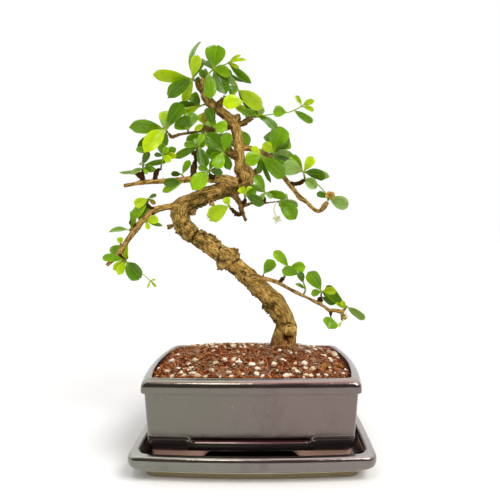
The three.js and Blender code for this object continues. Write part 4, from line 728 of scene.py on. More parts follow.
@dataclass(frozen=True)
class GlazeFinish:
    """A gunmetal lustre glaze, over bare clay below a wavy line. Its drift from green-grey on the left to
    mauve on the right is painted reflection tint.

    All sizes are in millimetres. The slot is the recess, whose maroon is painted shade, as half its length,
    its height and half its breadth.
    The pool is the nearly black band at the foot of the wall, partly pooled glaze and partly painted shade
    and dark reflection, as half the gap between the feet and its top.
    The well is the inside of the tray, painted nearly black as shade and dark reflection, as its half sizes
    and its top.
    """

    name: str
    clay_line: float
    # The left and right lustre colours are painted reflection tint across the glaze.
    left: str = "6e6c62"
    right: str = "756864"
    deep: str = "3a2a2c"
    # Nearly black colour of the foot band and the tray's well: pooled glaze and painted shade and dark
    # reflection.
    thick: str = "221b1a"
    # Maroon painted shade in the recess.
    recess: str = "4a2a30"
    pin: str = "c8c4be"
    clay: str = "ffc8b0"
    clay_speck: str = "8a5a48"
    seam: str = "ffc8b0"
    metal: float = 0.93
    soft_edge: float = 1.5
    # How far the dark band, pooled glaze with painted shade, rises over the feet.
    pad_rise: float = 7.5
    shaded_well_floor: float = 6.5
    slot: Triple | None = None
    pool_and_shade: Pair | None = None
    shaded_well: Triple | None = None

    def in_shaded_well(self, shade: Shade) -> Socket:
        """The share of painted shade and dark reflection inside the tray.

        Args:
            shade: The surface that is being built.
        Returns:
            1 inside the well and 0 outside it.
        """
        x, y, z = shade.where()
        half_x, half_y, top = (size * MM for size in self.shaded_well)
        soft, floor = self.soft_edge * MM, self.shaded_well_floor * MM
        inside = shade.calc("MULTIPLY", shade.step(shade.calc("ABSOLUTE", x), half_x + soft, half_x),
                            shade.step(shade.calc("ABSOLUTE", y), half_y + soft, half_y))
        inside = shade.calc("MULTIPLY", inside, shade.step(z, floor, floor + 0.5 * MM))
        return shade.calc("MULTIPLY", inside, shade.step(z, top + soft, top))

    def in_pool_and_shade(self, shade: Shade) -> Socket:
        """The share of dark glaze at the foot of the wall, partly pooled glaze and partly painted shade and
        dark reflection, up to a wavy line that rises over the feet.

        Args:
            shade: The surface that is being built.
        Returns:
            1 below the line and 0 above it.
        """
        x, _, z = shade.where()
        gap, top = (size * MM for size in self.pool_and_shade)
        wave = shade.calc("MULTIPLY", shade.noise(shade.place(), 0.03, 2.0), 0.003)
        ends = shade.step(shade.calc("ABSOLUTE", x), gap + 0.010, gap + 0.016, 0.0, self.pad_rise * MM)
        line = shade.calc("ADD", shade.calc("SUBTRACT", z, wave), self.soft_edge * MM)
        return shade.step(shade.calc("SUBTRACT", line, ends), top + 0.0012, top)

    def in_slot_shade(self, shade: Shade) -> Socket:
        """The share of painted shade in the recess, with round ends.

        Args:
            shade: The surface that is being built.
        Returns:
            1 inside the recess and 0 outside it.
        """
        x, _, z = shade.where()
        half, height, thick = (size * MM for size in self.slot)
        past = shade.calc("MAXIMUM", shade.calc("SUBTRACT", shade.calc("ABSOLUTE", x), half - thick))
        rise = shade.calc("SUBTRACT", z, height)
        squares = shade.calc("ADD", shade.calc("MULTIPLY", past, past), shade.calc("MULTIPLY", rise, rise))
        return shade.step(shade.calc("SQRT", squares), thick + 0.0004, thick - 0.0004)

    def material(self) -> bpy.types.Material:
        """Builds the glaze and the clay.

        Returns:
            The material.
        """
        shade = Shade(self.name, IOR=1.5, Coat_Weight=0.35, Coat_Roughness=0.05)
        place = shade.place()
        x, _, z = shade.where()
        drift = shade.calc("MULTIPLY", shade.noise(place, 0.07, 2.0), 0.12)
        # Painted reflection: green-grey towards the left, mauve towards the right.
        side = shade.step(shade.calc("ADD", x, drift), -0.02, 0.11)
        lustre = shade.mix(side, colour(self.left), colour(self.right))
        clouds = shade.noise(shade.place((1, 1, 0.45)), 0.03, 4.0, 0.6)
        lustre = shade.mix(shade.step(clouds, 0.5, 0.78, 0.0, 0.25), lustre, colour(self.deep))
        pins = shade.step(shade.noise(place, 0.0012, 1.0), 0.7, 0.78, 0.0, 0.4)
        lustre = shade.mix(pins, lustre, colour(self.pin))
        metal = self.metal
        dark = self.in_shaded_well(shade) if self.shaded_well else self.in_pool_and_shade(shade) if self.pool_and_shade else None
        # Pooled glaze and painted shade: the foot band or the tray's well turns nearly black and loses its
        # metal.
        if dark:
            lustre = shade.mix(dark, lustre, colour(self.thick))
            metal = shade.step(dark, 0.0, 1.0, self.metal, 0.0)
        if self.slot:
            # Painted shade in the recess.
            lustre = shade.mix(self.in_slot_shade(shade), lustre, colour(self.recess))
        edge = shade.calc("ADD", z, shade.calc("MULTIPLY", shade.noise(place, 0.02, 2.0), 0.0015))
        line = self.clay_line * MM
        bare = shade.step(edge, line + 0.0011, line + 0.0005)
        if self.shaded_well:
            bare = shade.calc("MULTIPLY", bare, shade.calc("SUBTRACT", 1.0, dark))
        specks = shade.step(shade.noise(place, 0.002, 3.0), 0.3, 0.7, 0.0, 0.15)
        clay = shade.mix(specks, colour(self.clay), colour(self.clay_speck))
        clay = shade.mix(shade.step(z, line - 0.0012, line - 0.0022), colour(self.seam), clay)
        shade.set("Base Color", shade.mix(bare, lustre, clay))
        shade.set("Metallic", shade.blend(bare, metal, 0.0))
        film = shade.step(clouds, 0.3, 0.8, 0.15, 0.24)
        shade.set("Roughness", shade.blend(bare, film, 0.8))
        shade.bump(shade.noise(place, 0.014, 1.0), 0.0003)
        shade.bump(shade.noise(place, 0.0022, 2.0), 0.00003)
        return shade.material


@dataclass(frozen=True)
class PlainFinish:
    """A simple surface in two close colours, for what is hidden or small."""

    name: str
    first: str
    second: str
    rough: float
    size: float

    def material(self) -> bpy.types.Material:
        """Builds the surface.

        Returns:
            The material.
        """
        shade = Shade(self.name, Roughness=self.rough)
        cloud = shade.noise(shade.place(), self.size, 3.0)
        shade.set("Base Color", shade.mix(cloud, colour(self.first), colour(self.second)))
        shade.bump(cloud, 0.0002)
        return shade.material


Band = tuple[float, float, float, float]
Spot = tuple[float, float, float, float, float]


@dataclass
class Bark:
    """The bark over the smooth wood, worked out for each of its vertices, in millimetres.

    A band goes round the limb that passes nearest to its x and z. Its other two numbers are half width and
    height for a collar, and depth and lean for a crease. A ragged stretch has x, z, size and strength. A spot
    has x, y, z, size and height or depth.
    """

    collars: tuple[Band, ...] = (
        (-29.5, 193, 6.5, 2.3), (-71, 222, 4.0, 1.1), (38, 116, 5.0, 0.9), (22, 140, 7.0, 0.6))
    creases: tuple[Band, ...] = (
        (-66.5, 218.5, 1.6, 0.12), (-36, 202, 0.9, 0.35), (-24.5, 187, 1.2, -0.25),
        (-44, 268, 0.4, 0.4), (-64, 260, 0.5, -0.3))
    ragged: tuple[Band, ...] = (
        (-55, 220, 12, 1.5), (-45, 213, 10, 1.7), (-20, 198, 9, 1.6), (-36, 184, 8, 1.2), (-13, 168, 9, 1.1),
        (-3, 153, 9, 1.0), (15, 136, 8, 1.7), (21, 125, 7, 1.6), (-68, 247, 9, 1.8), (-58, 256, 8, 1.4),
        (-84, 252, 9, 1.4), (-88, 222, 8, 0.9), (0, 176, 8, 0.7), (28, 146, 10, 0.5), (-47, 256, 5, 1.5))
    bulges: tuple[Spot, ...] = (
        (39.2, 14.5, 114.5, 6.0, 4.8), (30, 22, 100, 6.0, 1.6), (-21, 24, 200, 5.0, 2.2),
        (-35.5, 15, 196, 4.5, 1.2), (20, 20, 127, 4.0, 1.6), (-58, 24, 224, 5.0, 1.8),
        (-48, 24, 216, 5.5, 2.2), (-41, 24, 209, 4.0, 1.4), (-83, 24, 252, 4.5, 1.6),
        (14, 20, 137, 4.0, 1.4), (-13, 22, 168, 3.5, 1.0))
    hollows: tuple[Spot, ...] = (
        (35.5, 14.5, 105, 3.8, 2.6), (39.5, 14, 105, 4.6, 3.6), (44, 15, 105.5, 4.2, 3.2),
        (41.5, 14, 100.5, 4.4, 2.0), (32, 17, 121, 2.0, 0.7), (5.5, 19, 150, 2.0, 0.9),
        (-10.5, 19, 170, 1.8, 0.8), (-15, 20, 280, 4.0, 1.5), (-18, 21, 270, 3.0, 1.2),
        (-47, 20, 258, 2.4, 1.0), (-35.5, 14, 196, 1.5, 1.3), (39.5, 14.5, 114.5, 1.7, 1.6),
        (-6, 23, 353, 2.2, 0.9), (-76, 17, 231, 2.4, 0.9), (-58, 20, 214, 1.8, 0.7))
    rings: tuple[Spot, ...] = (
        (39.2, 14.5, 114.5, 4.0, 1.3), (-35.5, 15, 196, 3.4, 1.1), (-67, 19, 226, 3.6, 0.5),
        (-4.5, 18, 165, 3.2, 0.4), (30, 17, 128, 3.4, 0.6))
    grooved_ring: float = 1.2
    lichen_at: Triple = (-76, 22, 233)
    lichen_size: Triple = (13, 16, 21)
    grain_stretch: float = 0.3
    fine_size: float = 1.3
    scab_size: float = 1.7
    plate_size: float = 2.6
    lump_size: float = 6.5
    patch_size: float = 15.0
    thin_limb: float = 2.5
    collar_reach: float = 24
    crease_reach: float = 18

    def locate(self, wood: Thing, known: dict[str, np.ndarray]) -> None:
        """Finds the limb under each vertex, and the noises there.

        Args:
            wood: The smooth wood.
            known: The stations along the limbs, by name.
        """
        self.known = known
        self.at = Bench.points(wood) / MM
        self.out = np.array([v.vector for v in wood.data.vertex_normals])
        tree = kdtree.KDTree(len(known["at"]))
        for k, spot in enumerate(known["at"]):
            tree.insert(spot, k)
        tree.balance()
        closest = [min(tree.find_n(spot, 6), key=lambda hit: hit[2] - known["radius"][hit[1]])
                   for spot in self.at]
        nearest = np.array([index for _, index, _ in closest])
        self.radius, self.spur = known["radius"][nearest], known["spur"][nearest]
        along, self.across = known["along"][nearest], known["across"][nearest]
        offset = self.at - known["at"][nearest]
        third = np.cross(along, self.across)
        self.length = known["length"][nearest] + (offset * along).sum(1)
        self.grain = np.stack([(offset * self.across).sum(1), (offset * third).sum(1),
                               self.length * self.grain_stretch], axis=1)
        self.stout = np.clip((self.radius - self.thin_limb) / 6, 0, 1)
        self.fine = cloud(self.grain, self.fine_size)
        self.plates = cloud(self.grain, self.plate_size, 9)
        self.lumps = cloud(self.at, self.lump_size)
        self.wide = cloud(self.at, self.patch_size, 30)
        self.scab = cloud(self.at, self.scab_size, 5)
        self.pit_shade = np.zeros(len(self.at))

    def roughen(self) -> None:
        """Raises the lumps and plates, the crusts on the shaded side, and the ragged edges. The crust mask
        also marks painted shade on the side turned down and to the left.
        """
        at, out, lumps, scab, stout = self.at, self.out, self.lumps, self.scab, self.stout
        # Painted shade: how far each vertex faces down and to the left, away from the light.
        self.shaded = smoothstep(0.1, 0.9, -0.75 * out[:, 2] - 0.5 * out[:, 0] + 0.9 * self.wide + 0.38)
        patchy = smoothstep(-0.15, 0.35, lumps + 0.6 * scab + 0.25 * self.wide)
        crust_and_shade = self.shaded * patchy * np.clip(stout * 1.6, 0, 1)
        worn = np.zeros(len(at))
        for x, z, size, strength in self.ragged:
            near = np.hypot(at[:, 0] - x, at[:, 2] - z) / size
            worn = np.maximum(worn, strength * (1 - smoothstep(0.45, 1.1, near + 0.3 * lumps)))
        for x, y, z, size in KNOTS:
            near = np.linalg.norm(at - (x, y, z), axis=1) / size
            worn = np.maximum(worn, 1.2 * (1 - smoothstep(0.9, 1.5, near + 0.2 * lumps)))
        edge = smoothstep(0.35, 0.85, np.abs((out * self.across).sum(1)) + 0.25 * lumps)
        self.rise = stout * (0.7 * lumps + 0.3 * self.plates + 0.14 * self.fine)
        self.rise = self.rise + crust_and_shade * (0.2 + 0.9 * scab) * (0.4 + 0.8 * edge)
        self.rise += worn * edge * (0.35 + 2.2 * np.clip(scab + 0.35 * self.fine, -0.5, 1))
        torn = np.clip(0.75 * worn * edge * smoothstep(-0.1, 0.4, scab + 0.6 * lumps), 0, 1)
        self.crust_and_shade = np.maximum(crust_and_shade, torn)
        knobby = (1 - stout) * (0.25 + 1.35 * self.spur)
        self.rise += knobby * (0.8 * scab + 0.5 * lumps) * np.clip(self.radius / 3, 0.4, 1.1)

    def beside(self, x: float, z: float) -> tuple[np.ndarray, np.ndarray, np.ndarray]:
        """Measures the wood from one of its stations.

        Args:
            x: The place across.
            z: The height.
        Returns:
            How far each vertex lies ahead of, beside and away from the station nearest to x and z.
        """
        here = np.argmin(np.linalg.norm(self.known["at"][:, [0, 2]] - (x, z), axis=1))
        offset = self.at - self.known["at"][here]
        ahead = (offset * self.known["along"][here]).sum(1)
        aside = (offset * self.known["across"][here]).sum(1)
        return ahead, aside, np.linalg.norm(offset, axis=1)

    def swell(self) -> None:
        """Raises the collars and the bulges, and the faint rings along the twigs."""
        for x, z, size, height in self.collars:
            ahead, _, far = self.beside(x, z)
            swelling = height * np.exp(-((ahead / size) ** 4)) * (0.8 + 0.5 * self.lumps)
            self.rise += (far < self.collar_reach) * swelling
        for x, y, z, size, height in self.bulges:
            self.rise += height * np.exp(-((np.linalg.norm(self.at - (x, y, z), axis=1) / size) ** 2))
        self.rise += (1 - self.stout) * 0.12 * np.sin(self.length * 1.9)

    def carve(self) -> None:
        """Cuts the creases round the trunk and the hollows, and marks them for painted shade."""
        for x, z, depth, lean in self.creases:
            ahead, aside, far = self.beside(x, z)
            line = np.abs(ahead + lean * aside + 0.5 * self.lumps)
            close = (far < self.crease_reach) & (self.stout > 0.4)
            cut = np.where(close, 1 - smoothstep(0.2, 2.2, line + 0.8 * self.scab), 0)
            self.rise -= depth * cut
            self.pit_shade = np.maximum(self.pit_shade, min(0.5 * depth, 1) * cut)
        for x, y, z, size, depth in self.hollows:
            away = np.linalg.norm(self.at - (x, y, z), axis=1) * (1 + 0.2 * self.scab)
            cut = 1 - smoothstep(0.25 * size, 1.2 * size, away)
            self.rise -= depth * cut
            self.pit_shade = np.maximum(self.pit_shade, cut)

    def scar(self) -> None:
        """Raises the ringed scars of cut limbs. A high one is bare, with a groove round it that is marked for
        painted shade.
        """
        for x, y, z, size, height in self.rings:
            away = np.linalg.norm(self.at - (x, y, z), axis=1)
            self.rise += height * np.exp(-(((away - size) / (0.3 * size)) ** 2))
            if height > self.grooved_ring:
                groove = 1 - smoothstep(0, 0.45, np.abs(away / size - 1.9 - 0.2 * self.lumps))
                self.rise -= 0.7 * groove
                self.pit_shade = np.maximum(self.pit_shade, 0.8 * groove)
                self.crust_and_shade = self.crust_and_shade * smoothstep(1.2, 1.7, away / size)

    def paint(self, mesh: bpy.types.Mesh) -> None:
        """Writes what the finish reads: the grain, the relief with its pits for painted shade, and the shares
        of crust, lichen and spur; crust and lichen also hold painted shade.

        Args:
            mesh: The wood's mesh.
        """
        scab, stout = self.scab, self.stout
        patch = np.linalg.norm((self.at - self.lichen_at) / self.lichen_size, axis=1) + 0.9 * self.wide
        lichen_and_shade = (1 - smoothstep(0.55, 1.15, patch)) * smoothstep(-0.3, 0.3, scab + self.lumps)
        # Painted shade: an olive tone on the side turned down and to the left.
        olive_shade = 0.55 * self.shaded * smoothstep(0.0, 0.5, self.wide + 0.4 * self.lumps) * stout
        relief = 0.8 * self.lumps + 0.6 * self.plates + 0.7 * self.fine + 0.4 * scab
        Bench.paint(mesh, "grain", self.grain * MM)
        # The relief sinks in the pits, where the finish paints shade.
        Bench.paint(mesh, "relief", relief * 0.55 - 1.1 * self.pit_shade)
        Bench.paint(mesh, "crust_and_shade", np.clip(self.crust_and_shade * 1.35 + 0.4 * (1 - stout) * self.spur, 0, 1))
        Bench.paint(mesh, "lichen_and_shade", np.maximum(lichen_and_shade, olive_shade))
        twiggy = (1 - stout) * (0.15 + 0.95 * self.spur)
        Bench.paint(mesh, "spur", np.clip(twiggy + 0.25 * (scab < -0.2), 0, 1))

    def grow(self, wood: Thing, known: dict[str, np.ndarray]) -> None:
        """Gives the smooth wood its bark.

        Args:
            wood: The smooth wood, whose vertices are moved and painted.
            known: The stations along the limbs, by name.
        """
        self.locate(wood, known)
        self.roughen()
        self.swell()
        self.carve()
        self.scar()
        Bench.move(wood, (self.at + self.out * self.rise[:, None]) * MM)
        self.paint(wood.data)


@dataclass
class Wood:
    """The trunk, its limbs, twigs and spurs, grown as one piece of wood."""

    voxel: float = 0.85
    melt: float = 0.5
    knot_share: float = 0.98
    limb_steps: int = 5
    nub_steps: int = 3
    station_steps: int = 12
    stout: tuple[str, ...] = ("trunk", "leader")
    bare: tuple[str, ...] = ("right_limb", "low_right_limb", "left_limb", "low_left_limb")
    twig_rank: float = 0.55
    bark: Bark = field(default_factory=Bark)

    def body(self) -> Thing:
        """Sweeps every limb, adds the knots and melts all of them into one skin.

        Returns:
            The smooth wood.
        """
        routes = [smooth_route(route, self.limb_steps) for route in LIMBS.values()]
        parts = [Bench.tubes("limbs", routes, 3)]
        parts += [Bench.ball("knot", (x, y, z), self.knot_share * radius, 2) for x, y, z, radius in KNOTS]
        parts += self.nubs()
        wood = Bench.join("trunk_wood", parts)
        Bench.modify(wood, "REMESH", mode="VOXEL", voxel_size=self.voxel * MM)
        Bench.modify(wood, "SMOOTH", factor=self.melt, iterations=2)
        return wood

    def nubs(self) -> list[Thing]:
        """Sets bud scars and short dead spurs round each twig in turn.

        Returns:
            The small balls that they are made of.
        """
        parts = []
        for number, (name, route) in enumerate(LIMBS.items()):
            if name in self.stout or name.startswith("back"):
                continue
            rows = smooth_route(route, self.nub_steps)
            for k in range(2, len(rows), 1 if name.startswith("spur") else 3):
                seed = number * 57 + k
                if draw(seed) < 0.3:
                    continue
                x, y, z, radius = rows[k]
                turn = 2.4 * k + 6.28 * draw(seed + 1)
                away = Vector((math.cos(turn), math.sin(turn) * 0.7, math.sin(turn + 1.0)))
                at = Vector((x, y, z)) + away.normalized() * radius * 0.8
                size = (0.36 + 0.5 * draw(seed + 2)) * max(radius, 1.7)
                parts.append(Bench.ball("nub", at, size, 1))
        return parts

    def stations(self) -> dict[str, np.ndarray]:
        """Close points along every limb, each with its frame.

        Returns:
            Arrays by name: the point, the radius, the direction, one way across, the length so far, and
            how much of a spur the limb is.
        """
        found = []
        for name, route in LIMBS.items():
            rows = smooth_route(route, self.station_steps)
            away = np.gradient(rows[:, :3], axis=0)
            away /= np.linalg.norm(away, axis=1)[:, None]
            across = np.cross(away, (0.0, 1.0, 0.1))
            across /= np.linalg.norm(across, axis=1)[:, None]
            steps = np.linalg.norm(np.diff(rows[:, :3], axis=0), axis=1)
            rank = 0.0 if name in self.stout + self.bare else self.twig_rank
            spur = 1.0 if name.startswith("spur") else rank
            found.append({"at": rows[:, :3], "radius": rows[:, 3], "along": away, "across": across,
                          "length": np.concatenate([[0], np.cumsum(steps)]),
                          "spur": np.full(len(rows), spur)})
        return {key: np.concatenate([limb[key] for limb in found]) for key in found[0]}

    def build(self) -> None:
        """Models the wood and dresses it."""
        wood = self.body()
        self.bark.grow(wood, self.stations())
        Bench.dress(wood, BarkFinish().material(), "bark", "trunk_and_branches")


class Tip(Enum):
    """How a blade ends."""

    ROUND = "round"
    NOTCHED = "notched"
    TOOTHED = "toothed"
    POINTED = "pointed"


class Tone(Enum):
    """The colour of a leaf, by its number in the table."""

    DEEP = 0
    GREEN = 1
    FRESH = 2
    LIME = 3
    # Pale grey-green: painted sheen, the sky reflected on a darker leaf.
    DULL = 4
    WITHERED = 5


@dataclass(frozen=True)
class LeafRow:
    """A row of the table: the point of the stem that bears the leaf, its sizes, angles and tone."""

    at: int
    bearing: float
    length: float
    width: float
    lean: float
    roll: float
    arch: float
    tone: Tone

    @classmethod
    def read(cls, numbers: Row) -> "LeafRow":
        """Reads the numbers of a leaf, which the table has in this order."""
        at, *sizes, tone = numbers
        return cls(int(at), *sizes, Tone(int(tone)))

    def axes(self) -> tuple[Vector, Vector, Vector]:
        """Turns the leaf's angles into directions.

        Returns:
            The way that the leaf points, the way that its face looks, and its side.
        """
        turn, tilt = math.radians(self.bearing), math.radians(self.lean)
        chord = Vector((math.cos(turn) * math.cos(tilt), -math.sin(tilt), math.sin(turn) * math.cos(tilt)))
        facing = Vector((0, 0, 1)) if abs(chord.y) > 0.96 else Vector((0, -1, 0))
        facing = (facing - chord * facing.dot(chord)).normalized()
        facing.rotate(Quaternion(chord, math.radians(self.roll)))
        return chord, facing, chord.cross(facing)


@dataclass
class Blade:
    """The form that all leaves share: a closed sheet on a stalk that is modelled once.

    Its outlines give half the breadth at each station along it, as a share of the row's. Fold, roll, wave and
    groove go by the breadth, and notch, tooth and tip by the length.
    """

    columns: int = 6
    rows: int = 10
    stations: tuple[float, ...] = (0, 0.07, 0.15, 0.26, 0.4, 0.55, 0.7, 0.82, 0.91, 0.97, 1)
    spoon: tuple[float, ...] = (0.1, 0.11, 0.26, 0.53, 0.8, 0.96, 1.0, 0.94, 0.78, 0.56, 0.3)
    oval: tuple[float, ...] = (0.1, 0.12, 0.3, 0.6, 0.87, 1.0, 0.96, 0.84, 0.64, 0.4, 0.16)
    oval_share: float = 0.2
    thickness: float = 0.5
    edge_thinner: float = 0.45
    stalk_thicker: float = 0.5
    stalk_half: float = 0.45
    pointed_below: float = 0.34
    toothed_above: Pair = (24, 0.63)
    notched_above: float = 14
    notched_share: float = 0.3
    tip_round: float = 0.05
    notch: float = 0.07
    tooth: float = 0.1
    toothed_wider: float = 0.3
    flattest: float = 1
    fold: Pair = (0.04, 0.38)
    roll: float = 0.34
    wave: float = 0.035
    groove: float = 0.045
    twist: float = 0.5
    sag: float = 0.07
    stalk: str = "a9bc2c"
    under: str = "86a42a"
    tones: dict[Tone, tuple[str, str]] = field(default_factory=lambda: {
        Tone.DEEP: ("446902", "527a02"), Tone.GREEN: ("608a02", "76a002"), Tone.FRESH: ("78a402", "94bc02"),
        Tone.LIME: ("a8c600", "c2d800"), Tone.DULL: ("7f9c48", "9cb868"),
        Tone.WITHERED: ("8c7c20", "a08c28")})

    def master(self) -> Thing:
        """Models the flat blade.

        Returns:
            The blade, with x across from -1 to 1, y along from 0 to 1 and z through its thickness.
        """
        bpy.ops.mesh.primitive_grid_add(
            x_subdivisions=self.columns, y_subdivisions=self.rows, size=2, calc_uvs=True)
        blade = Bench.made("blade")
        rest = Bench.points(blade)
        rest[:, 1] = np.interp((rest[:, 1] + 1) / 2 * self.rows, range(self.rows + 1), self.stations)
        Bench.move(blade, rest)
        blade.data.uv_layers[0].name = "blade"
        Bench.modify(blade, "SOLIDIFY", thickness=1.0, offset=0.0)
        corners = np.empty(len(blade.data.loops), int)
        blade.data.loops.foreach_get("vertex_index", corners)
        rest = Bench.points(blade)
        flat = np.stack([(rest[:, 0] + 1) / 2, rest[:, 1]], axis=1)
        blade.data.uv_layers[0].data.foreach_set("uv", flat[corners].astype(np.float32).reshape(-1))
        return blade


@dataclass(frozen=True)
class Leaf:
    """One leaf: the flat blade's points, bent to a row of the table from a base in millimetres.

    Its small differences are drawn from its seed.
    """

    blade: Blade
    rest: np.ndarray
    base: Vector
    row: LeafRow
    seed: int

    def tip(self) -> Tip:
        """Chooses the form of the leaf's end from its proportions, its tone and a draw.

        Returns:
            The form.
        """
        row, slim = self.row, self.row.width / self.row.length
        long, wide = self.blade.toothed_above
        if slim < self.blade.pointed_below:
            return Tip.POINTED
        if row.tone is Tone.LIME and row.length > long and slim > wide:
            return Tip.TOOTHED
        notched = draw(self.seed + 11) > 1 - self.blade.notched_share
        return Tip.NOTCHED if notched and row.length > self.blade.notched_above else Tip.ROUND

    def outline(self) -> tuple[np.ndarray, np.ndarray]:
        """Works out the outline.

        Returns:
            Half the breadth at each point in millimetres, and how far along it lies as a share.
        """
        blade, tip = self.blade, self.tip()
        across, along, _ = self.rest.T
        oval = tip is Tip.POINTED or draw(self.seed) > 1 - blade.oval_share
        shares = np.interp(along, blade.stations, blade.oval if oval else blade.spoon)
        half = np.maximum(shares * self.row.width / 2, blade.stalk_half)
        end = smoothstep(0.75, 1.0, along)
        reach = along - end * blade.tip_round * across ** 2
        if tip is Tip.NOTCHED:
            reach = reach - end * blade.notch * np.exp(-((across / 0.3) ** 2))
        if tip is Tip.TOOTHED:
            reach = reach - end * blade.tooth * (np.round(across * blade.columns / 2) % 2)
            half = half * (1 + end * blade.toothed_wider)
        return half, reach

    def relief(self, half: np.ndarray) -> np.ndarray:
        """How far the leaf stands over the flat: fold, rolled edges, wave, groove and thickness.

        Args:
            half: Half the breadth at each point.
        Returns:
            Heights in millimetres.
        """
        blade, seed, width = self.blade, self.seed, self.row.width
        across, along, through = self.rest.T
        flat, steep = blade.fold
        fold = np.abs(across * half) * (steep * draw(seed + 1) + flat)
        roll = across ** 2 * half * blade.roll * (draw(seed + 2) - 0.25)
        wave = blade.wave * width * np.sin(9 * along + 6 * draw(seed + 3) + 1.6 * across) * np.abs(across)
        groove = blade.groove * width * np.exp(-((across / 0.2) ** 2)) * smoothstep(0.1, 0.4, along)
        thick = blade.thickness * (1 - blade.edge_thinner * across ** 2)
        thick += blade.stalk_thicker * (1 - smoothstep(0.05, 0.25, along))
        return fold - roll + wave - groove + through * thick

    def points(self) -> np.ndarray:
        """Bends the flat blade.

        Returns:
            The leaf's points in millimetres.
        """
        row, (half, reach) = self.row, self.outline()
        side, up = self.rest[:, 0] * half, self.relief(half)
        curl = math.radians(row.arch if abs(row.arch) > self.blade.flattest else self.blade.flattest)
        turn = curl * (reach - 0.5)
        scale = row.length / (2 * math.sin(curl / 2))
        forward = (np.sin(turn) + math.sin(curl / 2)) * scale
        rise = (np.cos(turn) - math.cos(curl / 2)) * scale
        chord, facing, sideways = (np.array(axis) for axis in row.axes())
        face = facing[None, :] * np.cos(turn)[:, None] + chord[None, :] * np.sin(turn)[:, None]
        spine = np.array(self.base) + chord * forward[:, None] + facing * rise[:, None]
        spine[:, 2] += self.blade.sag * row.length * math.hypot(chord[0], chord[1]) * 4 * reach * (1 - reach)
        twist = self.blade.twist * (draw(self.seed + 4) - 0.5) * self.rest[:, 1]
        out = side * np.cos(twist) - up * np.sin(twist)
        lift = up * np.cos(twist) + side * np.sin(twist)
        return spine + sideways * out[:, None] + face * lift[:, None]

    def tint(self) -> np.ndarray:
        """Colours the leaf: paler at its stalk, fresher at its edges, and dull underneath.

        Returns:
            A colour for each point.
        """
        across, along, through = self.rest.T
        low, high = (np.array(colour(code)) for code in self.blade.tones[self.row.tone])
        fresh = 0.55 * along + 0.45 * across ** 2 + 0.35 * (draw(self.seed + 5) - 0.5)
        shade = low + (high - low) * smoothstep(0.15, 1.0, fresh)[:, None]
        shade *= 0.88 + 0.24 * draw(self.seed + 6)
        pale = 0.7 * (1 - smoothstep(0.06, 0.24, along))
        shade += (np.array(colour(self.blade.stalk)) - shade) * pale[:, None]
        dull = (through < 0) * 0.4
        shade += (np.array(colour(self.blade.under)) - shade) * dull[:, None]
        shade[:, 3] = 1
        return shade


@dataclass
class Foliage:
    """Every leafy spray, one piece each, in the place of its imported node."""

    layer: float = 1.15
    head: float = 1.35
    head_tip: float = 0.7
    far_side: float = 50
    leaves_per_far_leaf: int = 7
    green: str = "8fae3a"
    brown: str = "5f4422"
    lime_slots: tuple[str, ...] = ("low_left_top", "low_left_end", "low_left_yellow", "low_left_strip",
                                   "right_tip_spray", "hanging_spray")
    blade: Blade = field(default_factory=Blade)

    def far_leaves(self, number: int, count: int) -> list[LeafRow]:
        """Leaves on the far side of a spray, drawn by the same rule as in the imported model.

        Args:
            number: The spray's place in the table.
            count: How many leaves it has there.
        Returns:
            Their rows.
        """
        rows = []
        for k in range(count // self.leaves_per_far_leaf):
            seed = number * 31 + k * 7
            rows.append(LeafRow(1, 360 * draw(seed), 15 + 9 * draw(seed + 2), 8 + 4 * draw(seed + 3),
                                -45 - 28 * draw(seed + 1), 50 * (draw(seed + 4) - 0.5), 25, Tone.DEEP))
        return rows

    def spray(self, number: int, name: str, master: Thing) -> Thing:
        """Models one spray: its shoot, its heads and its leaves in layers from back to front.

        Args:
            number: The spray's place in the table.
            name: Its name there.
            master: The flat blade.
        Returns:
            The joined spray.
        """
        stem, leaves = SPRAYS[name]
        rows = [LeafRow.read(numbers) for numbers in leaves]
        rest = Bench.points(master)
        if stem[0][1] <= self.far_side:
            rows += self.far_leaves(number, len(leaves))
        rows.sort(key=lambda row: row.lean)
        routes = [smooth_route(stem, 4)]
        parts = []
        for k, (x, y, z, _) in enumerate(stem):
            group = [row for row in rows if row.at == k]
            reach = (len(group) - 1) / 2 * self.layer
            if len(group) > 1:
                head = [[x, y + reach + 0.8, z, self.head_tip], [x, y + reach * 0.5, z, self.head],
                        [x, y - reach * 0.5, z, self.head], [x, y - reach - 0.8, z, self.head_tip]]
                routes.append(smooth_route(head, 3))
            for layer, row in enumerate(group):
                seed = number * 101 + k * 17 + layer * 7
                base = Vector((x, y + reach - layer * self.layer, z))
                leaf = Leaf(self.blade, rest, base, row, seed)
                parts.append(Bench.copy("leaf", master, leaf.points(), leaf.tint()))
        shoot = Bench.tubes("shoot", routes, 2)
        green, brown = np.array(colour(self.green)), np.array(colour(self.brown))
        start = np.array(stem[0][:3]) * MM
        away = smoothstep(0.001, 0.006, np.linalg.norm(Bench.points(shoot) - start, axis=1))[:, None]
        Bench.paint(shoot.data, "tint", brown + (green - brown) * away)
        return Bench.join(f"foliage_{name}", [shoot, *parts])

    def build(self) -> None:
        """Models every spray and dresses it."""
        master = self.blade.master()
        green = LeafFinish().material()
        for number, name in enumerate(SPRAYS):
            spray = self.spray(number, name, master)
            slot = "leaves_lime" if name in self.lime_slots else "leaves_green"
            Bench.dress(spray, green, slot, f"leaves_{name}", angle=70)
        bpy.data.objects.remove(master)


